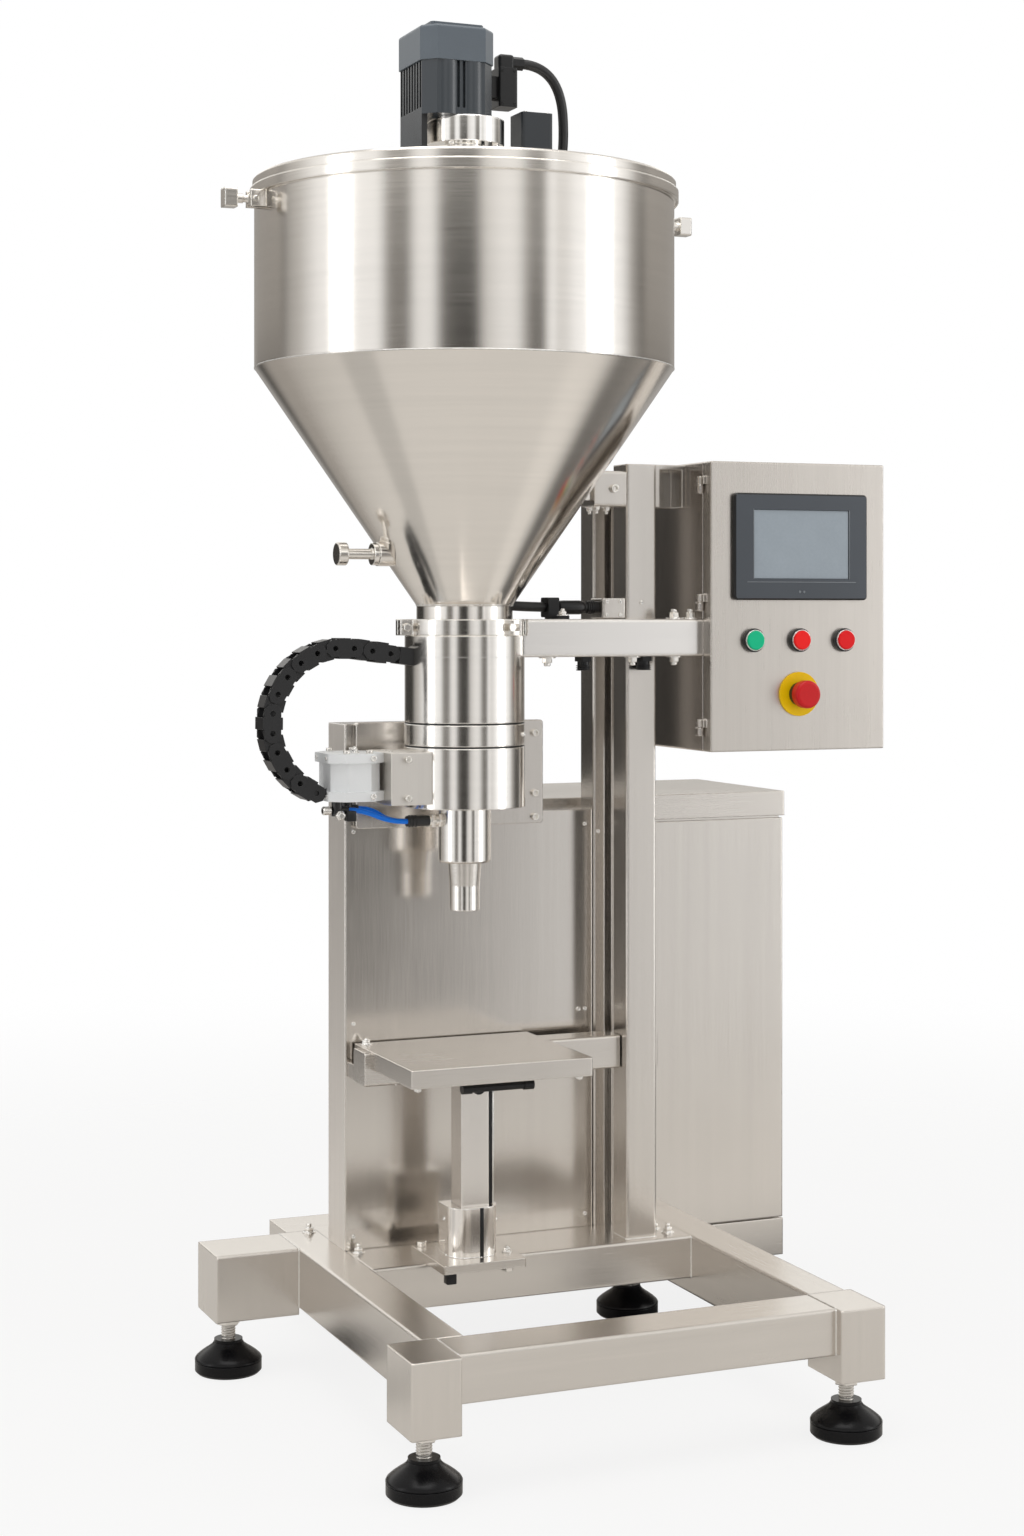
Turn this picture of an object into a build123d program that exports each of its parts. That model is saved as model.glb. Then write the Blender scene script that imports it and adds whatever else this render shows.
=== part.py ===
"""Auger powder filler: a hopper over an auger drive, on a welded stainless frame.

Modelled in millimetres with the auger axis at X = 0, Y = 0, the floor at Z = 0 and the front
towards -Y. At the end everything moves so that the origin is the middle of the footprint.
"""
import os
from math import cos, pi, radians, sin, sqrt, tan

from build123d import *

# Plays and seams
RUN_FIT = 0.05          # radial play of a shaft or stem in its bush
SLIDE_GAP = 0.5         # play between bodies that slide or swing past each other
SEAM = 0.1              # curved seats that are welded or clamped
SHEET = 2.0             # folded stainless sheet

# Base frame of welded square tube
FRAME_TOP = 149.0
FRAME_WALL = 4.0
TUBE_CORNER = 3.0
SIDE_BEAM_W = 50.0
SIDE_BEAM_H = 72.0
CROSS_BEAM_H = 52.0
FRONT_BEAM_D = 65.0
MID_BEAM_D = 134.0
MID_BEAM_FRONT = -10.0
LEFT_BEAM_OUT = -168.0
RIGHT_BEAM_OUT = 345.0
LEG_W = 56.0
LEG_D = 77.0
LEG_H = 80.0
LEG_LAP = 18.0          # how far the left leg laps over the end of its side beam
LEG_FRONT = -374.0
OUTRIGGER_L = 102.0
OUTRIGGER_D = 82.0
SIDE_BEAM_BACK = 197.0

# Levelling feet
FOOT_STEM_R = 8.0
FOOT_PAD_R = 40.0
FOOT_BAND_H = 16.0
FOOT_CONE_H = 18.0
FOOT_COLLAR_R = 17.0
FOOT_COLLAR_H = 6.0
FOOT_NUT_H = 12.0
FOOT_NUT_FLATS = 24.0
FOOT_STEM_ENGAGED = 36.0
FOOT_FROM_OUTRIGGER_END = 26.0
BACK_RIGHT_FOOT = (305.0, 195.0)

# Posts, back panel and rear cabinet
POST = 40.0
POST_X = 214.0
POST_Y = 4.0
POST_TOP = 1094.0
POST_WALL = 3.0
POST_PITCH = 80.0       # front face of the front post to front face of the rear post
REAR_POST_SHIFT = 8.0
REAR_POST_TOP = 1080.0
REAR_SLOT_W = 9.0
PANEL_LEFT = -121.0
PANEL_RIGHT = 205.0
PANEL_FRONT = 84.0
PANEL_D = 62.0
PANEL_TOP = 779.0
PANEL_STEP_X = 133.0
PANEL_STEP_TOP = 668.0
CABINET_LEFT = 30.0
CABINET_RIGHT = 508.0
CABINET_D = 250.0
CABINET_TOP = 643.0
PLINTH_H = 48.0
PLINTH_GAP = 2.0
LID_GAP = 3.0
CABINET_LID_H = 32.0
LID_OVERHANG = 3.0

# Hopper and lid
HOPPER_R = 248.0
HOPPER_WALL = 2.5
HOPPER_TOP = 1408.0
HOPPER_SHOULDER = 1200.0
RIM_LIP = 5.0           # how far the rim stands out from the barrel
RIM_H = 12.0
LID_T = 12.0
LID_BEVEL = 2.0
LID_STEP = 3.0          # lid's edge in from the rim's
NECK_R = 57.0
NECK_TOP = 921.0
NECK_BOTTOM = 886.0

# Drum stack under the hopper
CLAMP_R = 69.0
CLAMP_H = 19.0
CLAMP_LUG = 15.0
CLAMP_LUG_W = 18.0
CLAMP_SLOT = 3.0        # gap between the clamp's halves
DRUM_R = 71.0
DRUM_H = 102.0
DRUM_WALL = 3.0
RING_R = 71.5
RING_H = 25.0
DRUM_GROOVE = 2.0
GATE_R = 72.0
GATE_H = 71.0
SOCKET_R = 31.4
SOCKET_H = 66.0
NOZZLE_R = 20.0
NOZZLE_TIP_R = 17.8
NOZZLE_BORE = 16.0
NOZZLE_OUT = 57.0       # length below the socket
NOZZLE_TIP_L = 29.0
NOZZLE_IN = 32.0        # length held in the socket

# Plate and saddle that carry the drums
DRUM_PLATE_T = 10.0
DRUM_PLATE_EDGE = 11.0  # left edge in from the panel's, and screws in from the right edge
DRUM_PLATE_BELOW = 30.0
DRUM_PLATE_SCREWS = (8.0, 37.0, 111.0)   # up from the plate's bottom
SADDLE_W = 84.0
SADDLE_FRONT = 50.0

# Auger and agitator
SHAFT_R = 8.0
FLIGHT_R = 15.0
FLIGHT_PITCH = 30.0
FLIGHT_T = 3.0
FLIGHT_TURNS = 9
HUB_R = 14.0
GEAR_MODULE = 4.0
GEAR_TEETH = 31
PINION_TEETH = 12
GEAR_H = 14.0
GEAR_PLAY = 0.16        # share of a tooth pitch left open for backlash
BLADE_W = 24.0
BLADE_T = 8.0
BLADE_CLEAR = 10.0

# Hopper fittings
STAY_X = 171.0
STAY_Z = (1042.0, 1085.0)
STAY_D = 40.0
STAY_LUG_IN = 7.0       # lug's edges in from the stay's
CLAMP_PIN_OUT = 12.0
CLAMP_Z = 1386.0
CLAMP_EYE_R = 8.0
CLAMP_EYE_W = 9.0
CLAMP_EAR_T = 5.5
CLAMP_PIN_R = 3.0
CLAMP_ROD_R = 5.5
CLAMP_SLEEVE_AT = 13.0  # start of the sleeve, clear of the ears as the clamp swings
CLAMP_REACH = 36.0
CLAMP_HEAD = 15.0
DRAIN_Z = 981.0
DRAIN_STEM_R = 6.2
DRAIN_BOSS_R = 14.0
DRAIN_BOSS_L = 12.0
DRAIN_KNOB_R = 13.5
DRAIN_KNOB_T = 12.0
DRAIN_OUT = 62.0
PAN_R = 120.0
PAN_H = 30.0
PAN_T = 3.0
PINION_SHAFT_R = 7.0
GEAR_DROP = 6.0         # gear tops below the lid

# Leads, air lines and small hardware
CABLE_R = 6.0
CABLE_BEND = 120.0      # widest bend of the motor lead
CLIP_X = 120.0
CLIP_W = 14.0
CLIP_H = 24.0
CLIP_FOOT_T = 4.0
GLAND_R = 8.5
GLAND_L = 14.0
AIR_R = 3.0
AIR_FITTING_R = 6.5
JUNCTION_X = 182.0
JUNCTION_D = 36.0
JUNCTION_H = 24.0
BRACKET_H = 52.0
BRACKET_T = 6.0
GUSSET_W = 67.0
GUSSET_H = 227.0
GUSSET_T = 4.0
GUSSET_SCREW_IN = 15.0
GUSSET_COVER_H = 45.0
ARM_BOLTS_BELOW = (94.0, 206.0, 262.0)
ARM_BOLTS_ABOVE = (262.0, 284.0)
CLAMP_ANGLES = (180.0, -55.0)

# Drives on the lid
MOTOR_X = 92.0
MOTOR_Y = 104.0
MOTOR_SHIFT = (-20.0, 10.0)
MOTOR_BODY_H = 63.0
MOTOR_CAP_H = 41.0
MOTOR_CHAMFER = 16.0
MOTOR_INSET = 2.0       # body behind the outline of its cap
TIER_H = 5.0            # raised tier on the cap
TIER_IN = 13.0
FIN_COUNT = 8
FIN_DEPTH = 6.0
FIN_FOOT = 8.0          # plain foot below the fins
RIB_R = 22.0            # round ribs on the front and back of the body
RIB_OFF = 16.0
RIB_SLOT_W = 3.5
RIB_SLOT_DEPTH = 5.0
SKIRT_T = 7.0            # left wall that reaches down to the lid
FLANGE_R = 47.0
FLANGE_H = 30.0
SPIGOT_R = 24.0
SPIGOT_H = 44.0
AGITATOR_MOTOR_W = 40.0
AGITATOR_MOTOR_H = 88.0
CONNECTOR_W = 24.0
CONNECTOR_D = 30.0
CONNECTOR_H = 47.0
CONNECTOR_Y = 18.0
CONNECTOR_NECK = (22.0, 16.0, 26.0)   # plug between the motor and the connector box
CONNECTOR_GAP = 9.0
ELBOW_W = 20.0
ELBOW_H = 17.0

# Support arm and control box
ARM = 45.0
ARM_TOP = 905.0
ARM_START = 40.0        # inside the drum's wall, which the arm is cut round
ARM_GLAND_XS = (150.0, 230.0)
BOX_LEFT = 296.0
BOX_W = 241.0
BOX_H = 352.0
BOX_BOTTOM = 744.0
BOX_D = 150.0
BOX_FRONT = -40.0
DOOR_T = 20.0
DOOR_GAP = 1.5
HINGE_R = 4.0
HINGE_L = 20.0
HINGES_UP = (29.0, 181.0, 324.0)   # heights of the hinges above the box's bottom
MOUNT_INSET = 30.0      # mounting plate inside the box, in from the walls
MOUNT_T = 4.0
MOUNT_EDGE = 11.0
CONTROLLER_H = 100.0
CONTROLLER_D = 60.0
SUPPLY_W = 40.0
SUPPLY_D = 50.0
TERMINAL_H = 35.0
TERMINAL_D = 10.0
HMI_W = 185.0
HMI_H = 130.0
HMI_PROUD = 7.0
HMI_EDGE = 12.0         # overlap of the bezel on the door
HMI_DEPTH = 40.0
HMI_OFF = 1.0           # to the right of the door's middle
HMI_UP = 249.0          # above the box's bottom
SCREEN_W = 132.0
SCREEN_H = 84.0
BUTTONS_OFF = (-63.5, 0.5, 62.5)   # sideways from the door's middle
BUTTON_UP = 135.0
BUTTON_HOLE_R = 11.15
BUTTON_BEZEL_R = 14.5
BUTTON_BEZEL_H = 5.0
BUTTON_CAP_R = 11.5
BUTTON_TRAVEL = 4.0
BUTTON_DEPTH = 26.0
ESTOP_UP = 69.0
ESTOP_PLATE_R = 27.0
ESTOP_HEAD_R = 17.0
ESTOP_TRAVEL = 5.0
ESTOP_COLLAR_H = 6.0
ESTOP_DEPTH = 30.0

# Actuator with its cable chain
ACTUATOR_X = (-176.0, -108.0)
ACTUATOR_Y = (-35.0, 47.0)
ACTUATOR_Z = (695.0, 750.0)
ACTUATOR_PLATE_H = 11.0
CHAIN_CENTRE = (-155.0, 785.0)
CHAIN_R = 87.0
CHAIN_START_ANGLE = 82.0
CHAIN_STEP = 15.0
CHAIN_ARC_LINKS = 11
CHAIN_STRAIGHT_LINKS = 2
CHAIN_W = 30.0
CHAIN_H = 24.0
CHAIN_PLATE_T = 2.0
CHAIN_BAR_T = 2.0
CHAIN_PLAY = 0.4
CHAIN_HOLE_R = 3.2

# Bottle platform
TRAY_X = (-111.0, 113.0)
TRAY_Y = (-119.0, 78.0)
TRAY_TOP = 397.5
TRAY_SKIRT = 21.0
TRAY_SHEET = 2.0
CROSSBAR = 40.0
CROSSBAR_FRONT = 20.0
COLUMN = 35.0
COLUMN_Y = -17.5
COLUMN_TOP = 370.0
COLUMN_WALL = 3.5
COLUMN_SLOT_W = 6.0
COLUMN_SLOT_UP = 70.0
LIFT_BOTTOM = 185.0
LIFT_HEAD = (90.0, 70.0, 6.0)
PLATE_X = 104.0
PLATE_Y = (-66.0, 42.0)
PLATE_T = 10.0
COLLAR_W = 60.0
COLLAR_H = 58.0
COLLAR_T = 8.0
LEVER_R = 5.0
LEVER_SHORT = 22.0
LEVER_LONG = 68.0
LEVER_DROP = 12.0       # lever axis below the column's top
LEVER_PIN_R = 4.0

# Places worked out from the sizes above
FRAME_SEAT = FRAME_TOP - LEG_H
LEFT_BEAM_IN = LEFT_BEAM_OUT + SIDE_BEAM_W
RIGHT_BEAM_IN = RIGHT_BEAM_OUT - SIDE_BEAM_W
LEG_BACK = LEG_FRONT + LEG_D
LEFT_LEG_X = (LEFT_BEAM_OUT + LEG_LAP - LEG_W, LEFT_BEAM_OUT + LEG_LAP)
RIGHT_LEG_X = (RIGHT_BEAM_IN, RIGHT_BEAM_IN + LEG_W)
OUTRIGGER_X = (LEFT_BEAM_OUT - OUTRIGGER_L, LEFT_BEAM_OUT)
OUTRIGGER_Y = (SIDE_BEAM_BACK - OUTRIGGER_D, SIDE_BEAM_BACK)
PANEL_BACK = PANEL_FRONT + PANEL_D
CABINET_BACK = PANEL_BACK + CABINET_D
PLINTH_TOP = FRAME_SEAT + PLINTH_H
CABINET_BOTTOM = PLINTH_TOP + PLINTH_GAP
REAR_POST_Y = POST_Y + POST_PITCH
REAR_POST_X = POST_X - REAR_POST_SHIFT
ARM_FRONT = POST_Y - ARM
ARM_BOTTOM = ARM_TOP - ARM
CONE_RISE = HOPPER_SHOULDER - NECK_TOP
LID_TOP = HOPPER_TOP + LID_T
RIM_R = HOPPER_R + RIM_LIP
DRUM_TOP = NECK_BOTTOM
DRUM_BOTTOM = DRUM_TOP - DRUM_H
RING_TOP = DRUM_BOTTOM - DRUM_GROOVE
RING_BOTTOM = RING_TOP - RING_H
GATE_TOP = RING_BOTTOM - DRUM_GROOVE
GATE_BOTTOM = GATE_TOP - GATE_H
SOCKET_BOTTOM = GATE_BOTTOM - SOCKET_H
NOZZLE_TIP = SOCKET_BOTTOM - NOZZLE_OUT
FLANGE_BOTTOM = LID_TOP + SPIGOT_H
MOTOR_BOTTOM = FLANGE_BOTTOM + FLANGE_H
GEAR_CENTRES = GEAR_MODULE * (GEAR_TEETH + PINION_TEETH) / 2
CONNECTOR_LEFT = MOTOR_SHIFT[0] + MOTOR_X / 2 - MOTOR_INSET + CONNECTOR_NECK[0]
CONNECTOR_X = (CONNECTOR_LEFT, CONNECTOR_LEFT + CONNECTOR_W)
CONNECTOR_BOTTOM = LID_TOP + AGITATOR_MOTOR_H + CONNECTOR_GAP
CONNECTOR_TOP = CONNECTOR_BOTTOM + CONNECTOR_H
DOOR_FRONT = BOX_FRONT - DOOR_T
DOOR_MIDDLE = BOX_LEFT + BOX_W / 2
HINGE_HEIGHTS = [BOX_BOTTOM + up for up in HINGES_UP]
BRACKET_TOP = min(POST_TOP, BOX_BOTTOM + BOX_H)
HMI_CENTRE = (DOOR_MIDDLE + HMI_OFF, BOX_BOTTOM + HMI_UP)
BUTTON_XS = [DOOR_MIDDLE + off for off in BUTTONS_OFF]
BUTTON_Z = BOX_BOTTOM + BUTTON_UP
ESTOP_X = DOOR_MIDDLE
ESTOP_Z = BOX_BOTTOM + ESTOP_UP
CROSSBAR_TOP = TRAY_TOP - TRAY_SHEET
COLUMN_BOTTOM = FRAME_TOP + PLATE_T
COLUMN_FRONT = COLUMN_Y - COLUMN / 2
LEVER_Z = COLUMN_TOP - LEVER_DROP
GEAR_TOP = HOPPER_TOP - GEAR_DROP
FOOT_SPOTS = {
    "foot_front_left": (sum(LEFT_LEG_X) / 2, LEG_FRONT + LEG_D / 2),
    "foot_front_right": (sum(RIGHT_LEG_X) / 2, LEG_FRONT + LEG_D / 2),
    "foot_back_left": (OUTRIGGER_X[0] + FOOT_FROM_OUTRIGGER_END, sum(OUTRIGGER_Y) / 2),
    "foot_back_right": BACK_RIGHT_FOOT,
}
HINGE_AXIS = (BOX_LEFT - HINGE_R, BOX_FRONT)

PARTS = {}


def add(node, *solids):
    """Put solids into a node; a node may be filled in several steps."""
    PARTS.setdefault(node, []).extend(solids)


def block(x, y, z):
    """A box given by its low and high corner along X, Y and Z."""
    spans = (x, y, z)
    middle = [(low + high) / 2 for low, high in spans]
    return Pos(*middle) * Box(*[high - low for low, high in spans])


def around(middle, width):
    """The low and high value of a width about its middle."""
    return (middle - width / 2, middle + width / 2)


def rod(radius, start, end):
    """A round bar from one point to another."""
    run = Vector(*end) - Vector(*start)
    return Solid.make_cylinder(radius, run.length, Plane(origin=start, z_dir=run))


def hexagon(flats, start, end):
    """A hexagonal bar, such as a nut or a bolt head, from one point to another."""
    run = Vector(*end) - Vector(*start)
    face = Plane(origin=start, z_dir=run) * RegularPolygon(flats / sqrt(3), 6)
    return extrude(face, amount=run.length)


def turned(points):
    """A solid of revolution about the auger axis, from (radius, height) points."""
    return revolve(Plane.XZ * make_face(Polyline(*points, close=True)), Axis.Z)


def soft_edges(solid, axis, radius):
    """Round the edges that run along one axis."""
    return fillet(solid.edges().filter_by(axis), radius)


def tube(x, y, z, along, low_cap=0.0, high_cap=0.0, wall=FRAME_WALL, corner=TUBE_CORNER):
    """A rectangular tube with welded end caps where a cap has a thickness."""
    bore = []
    for axis, (low, high) in zip("XYZ", (x, y, z)):
        if axis == along:
            bore.append((low + low_cap if low_cap else low - 1, high - high_cap if high_cap else high + 1))
        else:
            bore.append((low + wall, high - wall))
    axis = {"X": Axis.X, "Y": Axis.Y, "Z": Axis.Z}[along]
    return soft_edges(block(x, y, z), axis, corner) - block(*bore)


def foot_hole(spot, top):
    """The cut for a foot's stem in the plate above it."""
    return rod(FOOT_STEM_R + SLIDE_GAP, (*spot, FRAME_SEAT - 1), (*spot, top))


def base_frame():
    """Side beams, cross beams, corner legs and the outrigger, all welded tube."""
    cross_z = (FRAME_TOP - CROSS_BEAM_H, FRAME_TOP)
    side_z = (FRAME_TOP - SIDE_BEAM_H, FRAME_TOP)
    leg_z = (FRAME_SEAT, FRAME_TOP)
    leg_y = (LEG_FRONT, LEG_BACK)
    left_x = (LEFT_BEAM_OUT, LEFT_BEAM_IN)
    right_x = (RIGHT_BEAM_IN, RIGHT_BEAM_OUT)
    front_y = (LEG_BACK - FRONT_BEAM_D, LEG_BACK)
    mid_y = (MID_BEAM_FRONT, MID_BEAM_FRONT + MID_BEAM_D)
    add("base_beams",
        tube(left_x, (LEG_BACK, SIDE_BEAM_BACK), side_z, "Y", high_cap=FRAME_WALL),
        tube(right_x, (LEG_BACK, PANEL_BACK), side_z, "Y"),
        tube((LEFT_LEG_X[1], RIGHT_BEAM_IN), front_y, cross_z, "X"),
        tube((LEFT_BEAM_IN, RIGHT_BEAM_IN), mid_y, cross_z, "X"))
    legs = [
        tube(LEFT_LEG_X, leg_y, leg_z, "Z", FRAME_WALL, FRAME_WALL),
        tube(RIGHT_LEG_X, leg_y, leg_z, "Z", FRAME_WALL, FRAME_WALL),
        tube(OUTRIGGER_X, OUTRIGGER_Y, leg_z, "X", low_cap=FRAME_WALL),
    ]
    for leg, spot in zip(legs, FOOT_SPOTS.values()):
        add("base_legs", leg - foot_hole(spot, FRAME_SEAT + FRAME_WALL + 1))


def foot(spot):
    """A levelling foot: rubber-shod pad on a threaded stem."""
    band_top = FOOT_BAND_H
    cone_top = band_top + FOOT_CONE_H
    top = cone_top + FOOT_COLLAR_H
    pad = turned([(0, 0), (FOOT_PAD_R - 3, 0), (FOOT_PAD_R, 3), (FOOT_PAD_R, band_top - 2),
                  (FOOT_PAD_R - 2, band_top), (FOOT_COLLAR_R + 4, cone_top - 2),
                  (FOOT_COLLAR_R, cone_top), (FOOT_COLLAR_R, top), (0, top)])
    stem = rod(FOOT_STEM_R, (0, 0, top), (0, 0, FRAME_SEAT + FOOT_STEM_ENGAGED))
    return [Pos(*spot, 0) * solid for solid in (pad, stem)]


def foot_nut(spot):
    """The lock nut that clamps a foot's stem under the frame."""
    low = (*spot, FRAME_SEAT - FOOT_NUT_H)
    high = (*spot, FRAME_SEAT)
    return hexagon(FOOT_NUT_FLATS, low, high) - rod(FOOT_STEM_R + RUN_FIT, low, high)


def bolt(flats, head, seat, direction):
    """A hexagon head that stands on a seat point along a direction."""
    end = Vector(*seat) + Vector(*direction) * head
    return hexagon(flats, seat, tuple(end))


def screw(radius, head, seat, direction):
    """A cap screw head with its socket, standing on a seat point."""
    out = Vector(*direction)
    top = tuple(Vector(*seat) + out * head)
    floor = tuple(Vector(*seat) + out * head * 0.45)
    return rod(radius, seat, top) - hexagon(radius, floor, tuple(Vector(*top) + out))


def posts():
    """The square front post and the slotted channel behind it."""
    front = tube(around(POST_X + POST / 2, POST), around(POST_Y + POST / 2, POST),
                 (FRAME_TOP, POST_TOP), "Z", high_cap=POST_WALL, wall=POST_WALL)
    x = (REAR_POST_X, REAR_POST_X + POST)
    y = (REAR_POST_Y, REAR_POST_Y + POST)
    z = (FRAME_TOP, REAR_POST_TOP)
    slot_x = around(sum(x) / 2, REAR_SLOT_W)
    rear = tube(x, y, z, "Z", wall=POST_WALL)
    rear -= block(slot_x, (y[0] - 1, y[0] + POST_WALL + 1), (z[0] - 1, z[1] + 1))
    add("posts", front, rear)


def back_panel():
    """Folded sheet box behind the platform, stepped down beside the posts and open at the back."""
    def outline(inset):
        left, right = PANEL_LEFT + inset, PANEL_RIGHT - inset
        step = PANEL_STEP_X - inset
        return [(left, FRAME_TOP + inset), (right, FRAME_TOP + inset), (right, PANEL_STEP_TOP - inset),
                (step, PANEL_STEP_TOP - inset), (step, PANEL_TOP - inset), (left, PANEL_TOP - inset)]

    def slab(inset, front):
        face = Plane.XZ.offset(-front) * make_face(Polyline(*outline(inset), close=True))
        return extrude(face, amount=-(PANEL_BACK - front))

    box = slab(0, PANEL_FRONT)
    box = soft_edges(box, Axis.Z, SHEET)
    add("back_panel", box - slab(SHEET, PANEL_FRONT + SHEET))


def cabinet():
    """Plinth, cabinet shell and lid of the electrical cabinet at the back."""
    x = (CABINET_LEFT, CABINET_RIGHT)
    y = (PANEL_BACK, CABINET_BACK)
    plinth_x = (LEFT_BEAM_IN, CABINET_RIGHT)
    plinth = block(plinth_x, y, (FRAME_SEAT, PLINTH_TOP))
    plinth -= block((plinth_x[0] + SHEET, plinth_x[1] - SHEET), (y[0] + SHEET, y[1] - SHEET),
                    (FRAME_SEAT + SHEET, PLINTH_TOP - SHEET))
    inset = 5 * SHEET
    plinth += block((x[0] + inset, x[1] - inset), (y[0] + inset, y[1] - inset), (PLINTH_TOP, CABINET_BOTTOM))
    plinth -= foot_hole(BACK_RIGHT_FOOT, FRAME_SEAT + FOOT_STEM_ENGAGED + FRAME_WALL)
    add("cabinet_plinth", plinth)
    shell = soft_edges(block(x, y, (CABINET_BOTTOM, CABINET_TOP)), Axis.Z, SHEET)
    shell -= block((x[0] + SHEET, x[1] - SHEET), (y[0] + SHEET, y[1] - SHEET),
                   (CABINET_BOTTOM + SHEET, CABINET_TOP + 1))
    add("cabinet_shell", shell)
    lid_bottom = CABINET_TOP + LID_GAP
    lid_x = (x[0] - LID_OVERHANG, x[1] + LID_OVERHANG)
    lid_y = (y[0], y[1] + LID_OVERHANG)
    lid = soft_edges(block(lid_x, lid_y, (lid_bottom, lid_bottom + CABINET_LID_H)), Axis.Z, SHEET)
    lid -= block((lid_x[0] + SHEET, lid_x[1] - SHEET), (lid_y[0] + SHEET, lid_y[1] - SHEET),
                 (lid_bottom - 1, lid_bottom + CABINET_LID_H - SHEET))
    rest = block((x[0] + 2 * SHEET, x[1] - 2 * SHEET), (y[0] + 2 * SHEET, y[1] - 2 * SHEET),
                 (CABINET_TOP - inset, lid_bottom + CABINET_LID_H - SHEET))
    rest -= block((x[0] + 4 * SHEET, x[1] - 4 * SHEET), (y[0] + 4 * SHEET, y[1] - 4 * SHEET),
                  (CABINET_TOP - inset - 1, lid_bottom + CABINET_LID_H))
    add("cabinet_lid", lid + rest)


def cone_radius(height):
    """Outer radius of the hopper cone at a height."""
    return NECK_R + (HOPPER_R - NECK_R) * (height - NECK_TOP) / CONE_RISE


def hopper():
    """Rolled barrel with its rim on a spun cone, and the lugs and the boss welded to them."""
    inside = HOPPER_R - HOPPER_WALL
    throat = NECK_R - HOPPER_WALL
    cone = [(NECK_R, NECK_BOTTOM), (NECK_R, NECK_TOP), (HOPPER_R, HOPPER_SHOULDER)]
    barrel = [(HOPPER_R, HOPPER_SHOULDER), (HOPPER_R, HOPPER_TOP - RIM_H), (RIM_R, HOPPER_TOP - RIM_H),
              (RIM_R, HOPPER_TOP)]
    add("hopper", turned(barrel + [(inside, HOPPER_TOP), (inside, HOPPER_SHOULDER)]),
        turned(cone + [(inside, HOPPER_SHOULDER), (throat, NECK_TOP), (throat, NECK_BOTTOM)]))
    core = turned([(0, NECK_BOTTOM), *cone, *barrel[1:], (0, HOPPER_TOP)])
    stay_y = (POST_Y + STAY_LUG_IN, POST_Y + POST - STAY_LUG_IN)
    stay_z = (STAY_Z[0] + STAY_LUG_IN, STAY_Z[1] - STAY_LUG_IN)
    add("hopper_lugs", block((cone_radius(STAY_Z[0]) - 30, STAY_X), stay_y, stay_z) - core)
    pin_x = HOPPER_R + CLAMP_PIN_OUT
    for side in (-1, 1):
        x = sorted((side * (HOPPER_R - 12), side * (pin_x + 6)))
        z = (CLAMP_Z - 9, HOPPER_TOP - RIM_H)
        near = CLAMP_EYE_W / 2 + SLIDE_GAP
        far = near + CLAMP_EAR_T
        pin_hole = rod(CLAMP_PIN_R + RUN_FIT, (side * pin_x, -far - 1, CLAMP_Z),
                       (side * pin_x, far + 1, CLAMP_Z))
        for y in ((-far, -near), (near, far)):
            add("hopper_lugs", block(x, y, z) - core - pin_hole)
    start = -cone_radius(DRAIN_Z)
    boss = rod(DRAIN_BOSS_R, (start + 20, 0, DRAIN_Z), (start - DRAIN_BOSS_L, 0, DRAIN_Z)) - core
    hole = rod(DRAIN_STEM_R + RUN_FIT, (start - DRAIN_BOSS_L - 1, 0, DRAIN_Z), (start - 1, 0, DRAIN_Z))
    add("hopper_lugs", boss - hole)


def drain_knob():
    """Threaded drain plug: flange, stem and knurled knob on the cone's left side."""
    start = -cone_radius(DRAIN_Z)
    end = start - DRAIN_OUT
    seat = start - DRAIN_BOSS_L - SLIDE_GAP

    def at(x):
        return (x, 0, DRAIN_Z)

    knob = rod(DRAIN_STEM_R, at(start - DRAIN_BOSS_L / 2), at(end + DRAIN_KNOB_T / 2))
    knob += rod(DRAIN_BOSS_R - 1, at(seat), at(seat - 6))
    disc = rod(DRAIN_KNOB_R, at(end + DRAIN_KNOB_T), at(end))
    add("drain_knob", knob + fillet(disc.edges(), 1.5))


def lid_clamp(side):
    """A swing clamp at the rim: eye, round shank and square head, on its pin."""
    pin_x = side * (HOPPER_R + CLAMP_PIN_OUT)
    end = pin_x + side * CLAMP_REACH
    half = CLAMP_EYE_W / 2
    eye = rod(CLAMP_EYE_R, (pin_x, -half, CLAMP_Z), (pin_x, half, CLAMP_Z))
    shank = rod(CLAMP_ROD_R - 1.2, (pin_x, 0, CLAMP_Z), (end, 0, CLAMP_Z))
    sleeve = rod(CLAMP_ROD_R, (pin_x + side * CLAMP_SLEEVE_AT, 0, CLAMP_Z),
                 (end - side * CLAMP_HEAD, 0, CLAMP_Z))
    head = block(sorted((end, end - side * CLAMP_HEAD)), (-9, 9), (CLAMP_Z - 11, CLAMP_Z + 11))
    head = fillet(head.edges().filter_by(Axis.X), 2)
    out = half + SLIDE_GAP + CLAMP_EAR_T + 1
    pin = rod(CLAMP_PIN_R, (pin_x, -out, CLAMP_Z), (pin_x, out, CLAMP_Z))
    return eye + shank + sleeve + head + pin


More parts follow.
